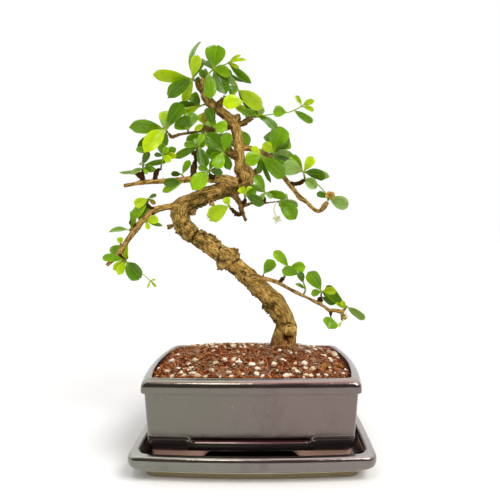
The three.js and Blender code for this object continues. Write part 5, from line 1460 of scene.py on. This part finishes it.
@dataclass
class Flowers:
    """The hanging flower, the spent flower and the bud, each on its pedicel."""

    heart: float = 1.3
    breadth: float = 0.8
    arch: float = 30
    blade: Blade = field(default_factory=lambda: Blade(
        spoon=(0.3, 0.32, 0.4, 0.55, 0.75, 0.92, 1.0, 0.96, 0.78, 0.5, 0.26)))
    petal_tints: dict[str, tuple[str, str]] = field(default_factory=lambda: {
        "hanging_flower": ("e9e6cf", "c9cf9a"), "spent_flower": ("c99a4e", "8a6a2a"),
        "flower_bud": ("e8e6b8", "b5c868")})

    def flower(self, name: str, master: Thing) -> Thing:
        """Models one flower.

        Args:
            name: Its name in the table.
            master: The flat blade.
        Returns:
            The joined flower.
        """
        pedicel, petals, ((size,),) = FLOWERS[name]
        petal, green = (np.array(colour(code)) for code in self.petal_tints[name])
        x, y, z, _ = pedicel[-1]
        parts = [Bench.tubes("pedicel", [smooth_route(pedicel, 5)], 2)]
        parts.append(Bench.ball("heart", (x, y, z), self.heart, 2))
        for part in parts:
            Bench.paint(part.data, "tint", np.tile(green, (len(part.data.vertices), 1)))
        rest = Bench.points(master)
        fade = smoothstep(0.2, 0.9, rest[:, 1])[:, None]
        for k, (bearing, lean) in enumerate(petals):
            form = LeafRow(0, bearing, size, size * self.breadth, lean, 0, self.arch, Tone.DEEP)
            leaf = Leaf(self.blade, rest, Vector((x, y, z)), form, 7 * k)
            parts.append(Bench.copy("petal", master, leaf.points(), green + (petal - green) * fade))
        return Bench.join(f"{name}_petals", parts)

    def build(self) -> None:
        """Models the three and dresses them."""
        master = self.blade.master()
        petal = TintedFinish(
            "petal", rough=0.6, speck="a98a50", share=0.35, size=0.0012, depth=0.0001).material()
        for name in FLOWERS:
            slot = "spent_petals" if name == "spent_flower" else "petals"
            Bench.dress(self.flower(name, master), petal, slot, name, angle=70)
        bpy.data.objects.remove(master)


def arc(start: np.ndarray, pull: np.ndarray, end: np.ndarray, t: float | np.ndarray) -> np.ndarray:
    """Points of a round bend.

    Args:
        start: Where it starts.
        pull: The corner that it is drawn towards.
        end: Where it ends.
        t: How far along it the wanted points lie, from 0 to 1.
    Returns:
        The points.
    """
    return (1 - t) ** 2 * start + 2 * t * (1 - t) * pull + t * t * end


@dataclass
class Plan:
    """The plan of the pot or the tray: an oblong with bowed sides and round corners."""

    half_x: float
    half_y: float
    corner: float
    side_bow: float
    front_bow: float
    shift_x: float = 0.0
    shift_y: float = 0.0
    long_steps: int = 120
    short_steps: int = 80
    corner_steps: int = 10

    def ring(self, inset: float, z: float, share: float = 1.0) -> np.ndarray:
        """The plan's points at one height.

        Args:
            inset: How far in from the rim it lies, in millimetres.
            z: Its height.
            share: How far it is shrunk towards its middle.
        Returns:
            One row of x, y and z for each point, turning left.
        """
        hx, hy = self.half_x - inset, self.half_y - inset
        x, y = hx - self.corner, hy - self.corner
        bow_x, bow_y = hx + 2 * self.side_bow, hy + 2 * self.front_bow
        runs = [
            ((-x, -hy), (0, -bow_y), (x, -hy), self.long_steps),
            ((x, -hy), (hx, -hy), (hx, -y), self.corner_steps),
            ((hx, -y), (bow_x, 0), (hx, y), self.short_steps),
            ((hx, y), (hx, hy), (x, hy), self.corner_steps),
            ((x, hy), (0, bow_y), (-x, hy), self.long_steps),
            ((-x, hy), (-hx, hy), (-hx, y), self.corner_steps),
            ((-hx, y), (-bow_x, 0), (-hx, -y), self.short_steps),
            ((-hx, -y), (-hx, -hy), (-x, -hy), self.corner_steps),
        ]
        points = []
        for start, pull, end, steps in runs:
            t = np.arange(steps)[:, None] / steps
            points.append(arc(np.array(start), np.array(pull), np.array(end), t))
        flat = np.vstack(points) * share
        return np.column_stack([flat[:, 0] + self.shift_x, flat[:, 1] + self.shift_y, np.full(len(flat), z)])


def rounded(section: list[Triple], steps: int = 5) -> list[Pair]:
    """A section with its corners rounded.

    Args:
        section: Corners as inset, height and radius.
        steps: How many stretches a round corner gets.
    Returns:
        Pairs of inset and height.
    """
    made = []
    for k, (inset, z, radius) in enumerate(section):
        here = np.array((inset, z))
        if not radius or k in (0, len(section) - 1):
            made.append((inset, z))
            continue
        back, ahead = (np.array(section[j][:2]) - here for j in (k - 1, k + 1))
        start = here + back * min(radius / np.linalg.norm(back), 0.48)
        end = here + ahead * min(radius / np.linalg.norm(ahead), 0.48)
        made += [tuple(arc(start, here, end, s / steps)) for s in range(steps + 1)]
    return made


def loft(name: str, rings: list[np.ndarray]) -> Thing:
    """A closed skin over rings of points.

    Args:
        name: The object's name.
        rings: The rings in millimetres, all with the same number of points.
    Returns:
        A mesh object whose first and last rings are closed by a face.
    """
    count = len(rings[0])
    bpy.ops.mesh.primitive_grid_add(x_subdivisions=count, y_subdivisions=len(rings) - 1)
    skin = Bench.made(name)
    closed = [np.vstack([ring, ring[:1]]) for ring in rings]
    Bench.move(skin, np.vstack(closed) * MM)
    Bench.pick(skin)
    bpy.ops.object.mode_set(mode="EDIT")
    bpy.ops.mesh.select_all(action="SELECT")
    bpy.ops.mesh.remove_doubles(threshold=0.002 * MM)
    bpy.ops.mesh.fill_holes(sides=0)
    bpy.ops.mesh.normals_make_consistent(inside=False)
    bpy.ops.object.mode_set(mode="OBJECT")
    return skin


@dataclass
class Pot:
    """The glazed pot: a lip band, a long shallow recess, corner feet and two drain holes.

    The slot is the recess in the front and back. A pad is the swollen place over a foot. Low down, the front
    and back stand steeper than the sides.
    """

    plan: Plan = field(default_factory=lambda: Plan(
        half_x=103.8, half_y=78.5, corner=7.5, side_bow=6, front_bow=2.6, shift_x=0.2, shift_y=2))
    top: float = 85
    fall: float = 3.2
    lip: float = 13
    breadth: float = 9
    wall: float = 9.5
    taper: float = 3.5
    seat: float = 8.3
    foot: float = 8.5
    floor: float = 7.2
    inset: float = 6.5
    lip_inset: float = 2.8
    wall_from: float = 25
    gap_x: float = 46
    gap_y: float = 30
    arch: float = 7.6
    corner_x: float = 24
    corner_y: float = 26
    skin: float = 20
    face_depth: float = 12
    slot_half: float = 54
    slot_height: float = 4
    slot_depth: float = 1.6
    slot_z: float = 28.0
    pad_from: float = 62
    pad_z: float = 24.6
    pad_half: float = 2.2
    pad_round: float = 4.5
    pad_rise: float = 1.2
    pad_reach: Pair = (18.5, 38)
    steeper: float = 3.6
    steeper_above: float = 44
    steeper_below: float = 14
    drain_x: float = 46
    drain_radius: float = 8
    clay_top: float = 17.3
    # Top of the dark foot band: pooled glaze with painted shade and dark reflection.
    pool_and_shade_top: float = 23.2

    def section(self) -> list[Pair]:
        """Draws the section from the underside, round the wall and the rim, to the floor inside.

        Returns:
            Pairs of inset and height.
        """
        under = self.seat + self.foot
        floor = under + self.floor
        lip = self.top - self.lip
        shoulder = self.top - self.fall
        inside = self.wall + self.taper
        rise = (self.inset - self.lip_inset) / (lip - 1.8 - self.wall_from)
        heights = np.concatenate([np.arange(24.8, 38.5, 0.6), np.linspace(40, lip - 2.4, 14)])
        outer = [(self.inset - rise * max(0, z - self.wall_from), z, 0.0) for z in heights]
        return rounded([
            (30, under, 0), (22.5, under, 0.8), (21.5, self.seat, 0.8), (10.3, self.seat, 1.2),
            (9.3, self.seat + 2.5, 1), (9.0, self.clay_top - 0.4, 0.6), (8.4, self.clay_top + 1.4, 1.0),
            (7.6, 20.6, 2), (6.7, 23.6, 1.5), *outer,
            (self.lip_inset, lip - 1.0, 0.3), (0.3, lip - 0.6, 0.2), (0, lip + 0.5, 0.6), (0, lip + 4.4, 1.5),
            (0.35, shoulder - 2.8, 2.2), (1.8, shoulder - 0.1, 2.4), (4.6, self.top - 1.2, 2.2),
            (self.breadth - 1.2, self.top, 1.4), (self.wall, self.top - 2.5, 1.0),
            (inside, floor + 2, 1.5), (inside + 3, floor, 0),
        ])

    def arches(self, x: np.ndarray, y: np.ndarray, z: np.ndarray) -> np.ndarray:
        """How far the gaps between the feet are raised.

        Args:
            x: Distances from the middle across.
            y: Distances from the middle in depth.
            z: Heights.
        Returns:
            The rise of each point in millimetres.
        """
        half_x, half_y = self.plan.half_x, self.plan.half_y
        long_side = (y > half_y - self.corner_y) & (x < half_x - self.corner_x)
        past = np.where(long_side, x - self.gap_x, y - self.gap_y)
        outside = np.maximum(x - half_x, y - half_y) > -self.skin
        low = np.clip(1 - (z - self.seat) / (self.foot + 0.4), 0, 1) * outside
        return self.arch * (1 - smoothstep(-9, 3, past)) * low

    def hollow(self, x: np.ndarray, z: np.ndarray) -> np.ndarray:
        """How deep the front lies: sunk in the slot and swollen over the feet.

        Args:
            x: Distances from the middle across.
            z: Heights.
        Returns:
            The depth at each point in millimetres.
        """
        radius = self.slot_height / 2
        past = np.maximum(x - (self.slot_half - radius), 0)
        slot = 1 - smoothstep(-0.9, 0.7, np.hypot(past, z - self.slot_z) - radius)
        beside = np.maximum(self.pad_from - x, 0)
        beyond = np.maximum(np.abs(z - self.pad_z) - self.pad_half, 0) * 1.2
        low, high = self.pad_reach
        pad = 1 - smoothstep(-1.6, 1.6, np.hypot(beside, beyond) - self.pad_round)
        return self.slot_depth * slot - self.pad_rise * pad * (z > low) * (z < high)

    def shape(self, points: np.ndarray) -> np.ndarray:
        """Sinks the recess into the front and back, raises the arches, and swells the corner feet.

        Args:
            points: One ring in millimetres.
        Returns:
            The ring with its points moved.
        """
        x, y, z = np.abs(points[:, 0]), points[:, 1] - self.plan.shift_y, points[:, 2]
        edge = self.plan.half_y - self.face_depth
        face, wall = np.sign(y) * (np.abs(y) > edge), np.abs(y) > edge + 1
        down = np.clip((self.top - self.lip - 4 - z) / self.steeper_above, 0, 1)
        up = np.clip((z - self.seat) / self.steeper_below, 0, 1)
        moved = points.copy()
        moved[:, 1] -= face * (self.hollow(x, z) - self.steeper * down * up * wall)
        moved[:, 2] += self.arches(x, np.abs(y), z)
        return moved

    def build(self) -> None:
        """Models the pot and dresses it."""
        rings = [self.shape(self.plan.ring(inset, z)) for inset, z in self.section()]
        pot = loft("glazed_pot", rings)
        under = self.seat + self.foot
        for x in (-self.drain_x, self.drain_x):
            bpy.ops.mesh.primitive_cylinder_add(
                vertices=40, radius=self.drain_radius * MM, depth=4 * self.floor * MM,
                location=(x * MM, self.plan.shift_y * MM, under * MM))
            drill = Bench.made("drill")
            Bench.modify(pot, "BOOLEAN", object=drill, operation="DIFFERENCE", solver="EXACT")
            bpy.data.objects.remove(drill)
        slot = (self.slot_half, self.slot_z, self.slot_height / 2)
        pool_and_shade = (self.gap_x, self.pool_and_shade_top)
        glaze = GlazeFinish("pot_glaze", self.clay_top, slot=slot, pool_and_shade=pool_and_shade).material()
        Bench.dress(pot, glaze, "pot_glaze", "pot", angle=50)


@dataclass
class Tray:
    """The drip tray: a thick rolled rim that curves in below to a foot ring."""

    plan: Plan = field(default_factory=lambda: Plan(
        half_x=112.5, half_y=99, corner=15, side_bow=1.5, front_bow=4.5, shift_x=1.5, shift_y=-1))
    top: float = 23.5
    floor: float = 8
    clay_top: float = 9.3
    # The tray's inside that is painted nearly black as shade, as half sizes and top.
    shaded_well: Triple = (103.5, 90.5, 20.5)

    def section(self) -> list[Pair]:
        """Draws the section from the underside, round the rim, to the floor inside.

        Returns:
            Pairs of inset and height.
        """
        return rounded([
            (34, 0, 0), (13.7, 0, 0.7), (13.2, 4.7, 0.5), (13.7, 5.6, 0.4), (8.2, 7.0, 1.5), (2.9, 10.6, 1.2),
            (1.1, 12.6, 1.2), (0.1, 16.4, 2.5), (0.1, 20.2, 2), (1.5, self.top - 0.9, 2.4),
            (4.2, self.top, 2), (8.2, self.top - 0.5, 2), (10, self.top - 2.6, 1.5), (11.2, 14, 4),
            (14, self.floor, 3), (34, self.floor, 0),
        ])

    def build(self) -> None:
        """Models the tray and dresses it."""
        tray = loft("glazed_tray", [self.plan.ring(inset, z) for inset, z in self.section()])
        glaze = GlazeFinish("tray_glaze", self.clay_top, left="7c7c72", right="7e7572", clay="867a58",
                            seam="d2c8b0", shaded_well=self.shaded_well).material()
        Bench.dress(tray, glaze, "tray_glaze", "tray", angle=50)


@dataclass
class Soil:
    """The potting mix: a rough bed, bark and coir crumbs, pumice grains, fibres and surface roots."""

    plan: Plan = field(default_factory=lambda: replace(
        Pot().plan, long_steps=84, short_steps=64, corner_steps=6))
    top: float = 82.4
    floor: float = 24.6
    edge: float = 9.9
    taper: float = 3.3
    circles: int = 62
    lumps: Pair = (4, 1.1)
    bits: Pair = (1.5, 0.6)
    mound: tuple[float, float, float, float, float] = (-8, 34, 9.4, 84, 48)
    heap: tuple[float, float, float, float] = (34, 12, 7, 16)
    rim_rise: float = 1.3
    rim_steep: float = 9
    trunk: Triple = (34, 28, 15.5)
    tilt: float = 0.4
    crumbs: int = 7200
    grains: int = 135
    fibres: int = 800
    roots: int = 46
    browns: tuple[str, ...] = ("8e481f", "aa6234", "5c260e", "bc7c48", "98502a", "401606", "7c3a18", "b26c38")
    pales: tuple[str, ...] = ("f0e2c6", "e8d6b4", "f8efdc", "dcc8a4", "f4e8d2")
    oranges: tuple[str, ...] = ("b07834", "a06a30")
    bed_shade_tones: tuple[str, str] = ("3a1e12", "774628")
    fibre_tones: tuple[str, str] = ("8f6440", "dcc9ae")

    def height(self, x: float, y: float, inner: float = 1.0) -> float:
        """The smooth height of the soil's surface, before its crumbs.

        Args:
            x: The place across.
            y: The place in depth.
            inner: How far in from the rim it lies, as a share.
        Returns:
            The height in millimetres.
        """
        mx, my, rise, wide, deep = self.mound
        swell = rise * math.exp(-(((x - mx) / wide) ** 4) - ((y - my) / deep) ** 2)
        hx, hy, lift, spread = self.heap
        swell += lift * math.exp(-(((x - hx) / spread) ** 2) - ((y - hy) / spread) ** 2)
        rim = self.rim_rise * max(0.0, 1 - self.rim_steep * inner)
        return self.top + swell * min(1.0, 4 * inner) + rim

    def spot(self, rng: np.random.Generator) -> Pair:
        """Draws a place inside the rim, clear of the trunk.

        Args:
            rng: Where it is drawn from.
        Returns:
            The place across and in depth.
        """
        half_x, half_y = self.plan.half_x - self.edge - 2, self.plan.half_y - self.edge - 2
        while True:
            x, y = rng.uniform(-half_x - 3, half_x + 3), rng.uniform(-half_y - 2, half_y + 2)
            bow_x = half_x + self.plan.side_bow * (1 - (y / half_y) ** 2)
            bow_y = half_y + self.plan.front_bow * (1 - (x / half_x) ** 2)
            far = math.hypot(x - self.trunk[0], y - self.trunk[1]) > self.trunk[2]
            if abs(x) < bow_x and abs(y) < bow_y and far:
                return x, y + self.plan.shift_y

    def rim_share(self, x: float, y: float) -> float:
        """How far a place lies in from the rim, as a share of the way to the middle."""
        from_middle = abs(y - self.plan.shift_y) / (self.plan.half_y - self.edge)
        return 1 - max(abs(x) / (self.plan.half_x - self.edge), from_middle)

    def bed(self) -> Thing:
        """Models the solid bed, with a rough top.

        Returns:
            The bed.
        """
        low = self.edge + self.taper
        rings = [self.plan.ring(low + 2.5, self.floor), self.plan.ring(low, self.floor + 2.5),
                 self.plan.ring(self.edge + 0.3, self.top - 3), self.plan.ring(self.edge, self.top - 0.6)]
        (lump, lump_rise), (bit, bit_rise) = self.lumps, self.bits
        for step in range(1, self.circles):
            share = 1 - step / self.circles
            ring = self.plan.ring(self.edge, 0, share)
            for point in ring:
                x, y, _ = point
                rough = lump_rise * noise.noise(Vector((x / lump, y / lump, 0)))
                rough += bit_rise * noise.noise(Vector((x / bit, y / bit, 7)))
                point[2] = self.height(x, y, 1 - share) + rough - 0.4
            rings.append(ring)
        bed = loft("soil_bed", rings)
        z = Bench.points(bed)[:, 2]
        # Painted shade: the bed is dark where it lies below its middle height and lighter above.
        dark, light = (np.array(colour(code)) for code in self.bed_shade_tones)
        share = smoothstep(-0.001, 0.001, z - np.median(z))[:, None]
        Bench.paint(bed.data, "tint", dark + (light - dark) * share * 0.7)
        return bed

    def lay(self, rng: np.random.Generator, x: float, y: float, size: Triple, lift: float) -> Matrix:
        """The matrix, in metres, of a crumb or grain that lies on the soil.

        Args:
            rng: Where its turn and tilt are drawn from.
            x: Its place across.
            y: Its place in depth.
            size: Its half sizes in millimetres.
            lift: How far its middle lies over the surface, in millimetres.
        Returns:
            The matrix.
        """
        z = self.height(x, y, self.rim_share(x, y)) + lift
        place = Matrix.Translation(Vector((x, y, z)) * MM)
        turn = Matrix.Rotation(rng.uniform(0, 2 * math.pi), 4, "Z")
        lean, roll = (Matrix.Rotation(rng.normal(0, self.tilt), 4, axis) for axis in "XY")
        return place @ turn @ lean @ roll @ Matrix.Diagonal((*(Vector(size) * MM), 1))

    def crumb_layer(self) -> Thing:
        """Strews bark and coir crumbs, which are modelled once as a split chip.

        Returns:
            All of them as one mesh object.
        """
        rng = np.random.default_rng(41)
        bpy.ops.mesh.primitive_ico_sphere_add(subdivisions=1, radius=1)
        chip = Bench.made("chip")
        places, tints = [], []
        for _ in range(self.crumbs):
            x, y = self.spot(rng)
            long = rng.gamma(3.0, 0.42) + 0.5
            size = (min(long, 3.4), min(long * rng.uniform(0.2, 0.5), 1.2), rng.uniform(0.25, 0.55))
            places.append(self.lay(rng, x, y, size, rng.uniform(-0.2, 1.0)))
            shade = np.array(colour(self.browns[rng.integers(len(self.browns))])) * rng.uniform(0.78, 1.6)
            tints.append((*shade[:3], 1))
        return Bench.scatter("bark_crumbs", chip, places, tints, 0.7)

    def grain_layer(self) -> Thing:
        """Strews pumice and perlite grains, thicker on the right, with a few orange clay ones.

        Returns:
            All of them as one mesh object.
        """
        rng = np.random.default_rng(12)
        bpy.ops.mesh.primitive_ico_sphere_add(subdivisions=2, radius=1)
        grain = Bench.made("grain")
        places, tints = [], []
        while len(places) < self.grains:
            x, y = self.spot(rng)
            if rng.random() > 0.66 + 0.0024 * x + (0.2 if y < -30 else 0):
                continue
            size = 1.3 + 2.1 * rng.random() ** 1.3
            orange = rng.random() < 0.1
            long = 1.5 if orange else 1.1
            half = (size * long, size * rng.uniform(0.8, 1.0), size * rng.uniform(0.6, 0.8))
            places.append(self.lay(rng, x, y, half, rng.uniform(0.3, 1.1)))
            choice = self.oranges if orange else self.pales
            tints.append(colour(choice[rng.integers(len(choice))]))
        return Bench.scatter("pumice_grains", grain, places, tints, 0.6)

    def strand(self, rng: np.random.Generator, x: float, y: float, heading: float, length: float,
               thick: float, lift: float) -> np.ndarray:
        """The route of a thin strand that lies on the soil.

        Args:
            rng: Where its bends are drawn from.
            x: Where it starts.
            y: Where it starts.
            heading: The way it starts, in radians.
            length: Its length in millimetres.
            thick: Its radius.
            lift: How high its middle arches over the soil.
        Returns:
            Rows of x, y, z and radius.
        """
        rows = []
        steps = 5
        for k in range(steps + 1):
            share = k / steps
            inner = self.rim_share(x, y)
            if inner < 0.02:
                break
            z = self.height(x, y, inner) + 0.9 + lift * math.sin(math.pi * share)
            rows.append([x, y, z, thick * (1 - 0.5 * share)])
            heading += rng.normal(0, 0.35)
            x += math.cos(heading) * length / steps
            y += math.sin(heading) * length / steps
        return np.array(rows)

    def fibre_layer(self) -> Thing:
        """Lays coir fibres all over, and fine pale roots round the trunk.

        Returns:
            All of them as one mesh object.
        """
        rng = np.random.default_rng(5)
        routes = []
        for _ in range(self.fibres):
            x, y = self.spot(rng)
            routes.append(self.strand(rng, x, y, rng.uniform(0, 6.28), rng.uniform(5, 17),
                                      rng.uniform(0.13, 0.26), rng.uniform(0.2, 1.4)))
        cx, cy, radius = self.trunk
        for _ in range(self.roots):
            turn = rng.uniform(0, 6.28)
            near = radius * rng.uniform(0.9, 1.5)
            x, y = cx + near * math.cos(turn), cy + near * math.sin(turn)
            routes.append(self.strand(rng, x, y, turn + rng.normal(0, 0.7), rng.uniform(14, 30),
                                      rng.uniform(0.16, 0.3), rng.uniform(0.6, 3.0)))
        routes = [route for route in routes if len(route) > 2]
        fibres = Bench.tubes("coir_fibres", routes, 0)
        points = Bench.points(fibres)
        pick = np.array([noise.noise(Vector(p * 260)) for p in points])
        brown, pale = (np.array(colour(code)) for code in self.fibre_tones)
        Bench.paint(fibres.data, "tint", brown + (pale - brown) * smoothstep(-0.2, 0.45, pick)[:, None])
        return fibres

    def build(self) -> None:
        """Models the four layers and dresses them."""
        earth = TintedFinish("earth", rough=0.95, speck="2a150c", share=0.6, size=0.0016, depth=0.0008)
        crumb = TintedFinish("crumb", rough=0.9, speck="4a2412", share=0.4, size=0.0011, depth=0.0004)
        pumice = TintedFinish("pumice", rough=0.9, speck="a58a62", share=0.5, size=0.0009, depth=0.0005)
        fibre = TintedFinish("fibre", rough=0.8, speck="6a4326", share=0.4, size=0.002, depth=0.0001)
        layers = ((self.bed, earth, 180), (self.crumb_layer, crumb, 35), (self.grain_layer, pumice, 40),
                  (self.fibre_layer, fibre, 80))
        for model, finish, angle in layers:
            Bench.dress(model(), finish.material(), "potting_mix", "soil", angle=angle)


@dataclass
class Studio:
    """A plain pale floor, soft light all round, and the camera at the photo's place.

    The eye is in millimetres, the horizon and the frame are in the photo's pixels, and the floor and the
    lights are in metres.
    """

    lens: float = 36
    sensor: float = 36
    eye: Triple = (14, -539, 216)
    horizon: Pair = (266, 238)
    frame: float = 500
    floor_half: float = 30.0
    floor_drop: float = 0.0002
    floor_tones: tuple[str, str] = ("f6f5f3", "f8f7f6")
    sky: float = 0.7
    room_turn: Pair = (-0.35, 0.2)
    front_room: Stops = ((0, 0.16), (0.25, 0.07), (0.8, 0.07), (0.93, 0.6), (1, 2.4))
    back_room: Stops = ((0, 0.9), (0.3, 1.3), (0.55, 1.8), (0.85, 2.6), (1, 2.6))
    front_tint: Triple = (1.3, 0.78, 0.75)
    sun_from: Triple = (0.72, -0.62, 1.05)
    sun_power: float = 1.85
    sun_spread: float = 34
    lamp_from: Triple = (-0.21, -0.75, 1.3)
    lamp_aim: Triple = (0, 0, 0.1)
    lamp_size: float = 0.28
    lamp_power: float = 3
    lamp_tone: Triple = (1, 0.98, 0.95)

    def floor(self) -> None:
        """Lays the floor, plain and pale."""
        bpy.ops.mesh.primitive_grid_add(x_subdivisions=24, y_subdivisions=24, size=2 * self.floor_half)
        floor = Bench.made("studio_floor")
        points = Bench.points(floor)
        points[:, 2] = -self.floor_drop
        Bench.move(floor, points)
        shade = Shade("studio_floor", Roughness=0.9, Specular_IOR_Level=0.1)
        cloud = shade.noise(shade.place(), 0.6, 1.0)
        shade.set("Base Color", shade.mix(cloud, *(colour(tone) for tone in self.floor_tones)))
        floor.data.materials.append(shade.material)

    def ramp(self, sky: Nodes, height: Socket, stops: Stops, tint: Triple = (1, 1, 1)) -> Socket:
        """A ramp over the height of the sky.

        Args:
            sky: The world's node tree.
            height: The height that is looked at, from 0 at the horizon to 1 overhead.
            stops: Pairs of height and light.
            tint: The colour that the light is multiplied by.
        Returns:
            The light at each height.
        """
        band = sky.node("ValToRGB", {0: height})
        ramp = band.color_ramp.elements
        ramp.remove(ramp[1])
        for k, (place, light) in enumerate(stops):
            stop = ramp[0] if k == 0 else ramp.new(place)
            stop.position = place
            stop.color = (light * tint[0], light * tint[1], light * tint[2], 1)
        return band.outputs[0]

    def surround(self) -> None:
        """Lights the room.

        It is white to the eye and a soft sky for all that is lit. The glaze reflects a room that is pale
        behind it, with a dark low wall in front and a window over that.
        """
        world = bpy.data.worlds.new("studio")
        bpy.context.scene.world = world
        world.use_nodes = True
        sky = Nodes(world.node_tree)
        _, depth, height = sky.node("SeparateXYZ", {0: sky.node("TexCoord", {}).outputs["Generated"]}).outputs
        front, back = self.room_turn
        side = sky.node("MapRange", {0: depth, 1: front, 2: back}).outputs[0]
        room = sky.mix(side, self.ramp(sky, height, self.front_room, self.front_tint),
                       self.ramp(sky, height, self.back_room))
        ray = sky.node("LightPath", {}).outputs
        lit = sky.mix(ray["Is Glossy Ray"], (self.sky, self.sky, self.sky, 1), room)
        seen = sky.mix(ray["Is Camera Ray"], lit, (1, 1, 1, 1))
        backdrop = world.node_tree.nodes["Background"]
        sky.tree.links.new(seen, backdrop.inputs["Color"])
        backdrop.inputs["Strength"].default_value = 1.0

    def light(self, kind: str, name: str, start: Triple, aim: Triple, power: float,
              **settings: object) -> None:
        """Adds a light.

        Args:
            kind: Its type, SUN or AREA.
            name: Its name.
            start: Where it stands, in metres.
            aim: What it looks at, in metres.
            power: Its strength, for an area in watts.
            settings: Its other settings.
        """
        bpy.ops.object.light_add(type=kind, location=start)
        light = bpy.context.object
        light.name = name
        light.data.energy = power
        for key, value in settings.items():
            setattr(light.data, key, value)
        light.rotation_euler = (Vector(aim) - Vector(start)).to_track_quat("-Z", "Y").to_euler()

    def camera(self) -> None:
        """Stands the camera level at the photo's height, with the lens shifted to its frame."""
        bpy.ops.object.camera_add(location=Vector(self.eye) * MM, rotation=(math.pi / 2, 0, 0))
        camera = bpy.context.object
        camera.data.lens = self.lens
        camera.data.sensor_width = self.sensor
        middle = self.frame / 2
        camera.data.shift_x = (middle - self.horizon[0]) / self.frame
        camera.data.shift_y = (self.horizon[1] - middle) / self.frame
        camera.data.clip_start = 0.01
        bpy.context.scene.camera = camera

    def build(self) -> None:
        """Sets up the whole studio."""
        self.floor()
        self.surround()
        spread = math.radians(self.sun_spread)
        self.light("SUN", "daylight", self.sun_from, (0, 0, 0), self.sun_power, angle=spread)
        self.light("AREA", "key", self.lamp_from, self.lamp_aim, self.lamp_power,
                   size=self.lamp_size, color=self.lamp_tone)
        self.camera()
        view = bpy.context.scene.view_settings
        view.view_transform = "Standard"
        view.look = "None"


def main() -> None:
    """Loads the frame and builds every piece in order."""
    logging.basicConfig(level=logging.INFO, format="%(name)s %(message)s")
    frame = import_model()
    mesh_plastic = PlainFinish("mesh_plastic", "1a1a19", "2b2b29", rough=0.55, size=0.002).material()
    for name in ("drain_screen_left", "drain_screen_right"):
        screen = frame["nodes"][name]
        screen.data.materials.clear()
        screen.data.materials.append(mesh_plastic)
        LOG.info("%s: packed solid kept", name)
    Studio().build()
    for piece in (Tray(), Pot(), Soil(), Wood(), Foliage(), Flowers()):
        piece.build()


if __name__ == "__main__":
    main()
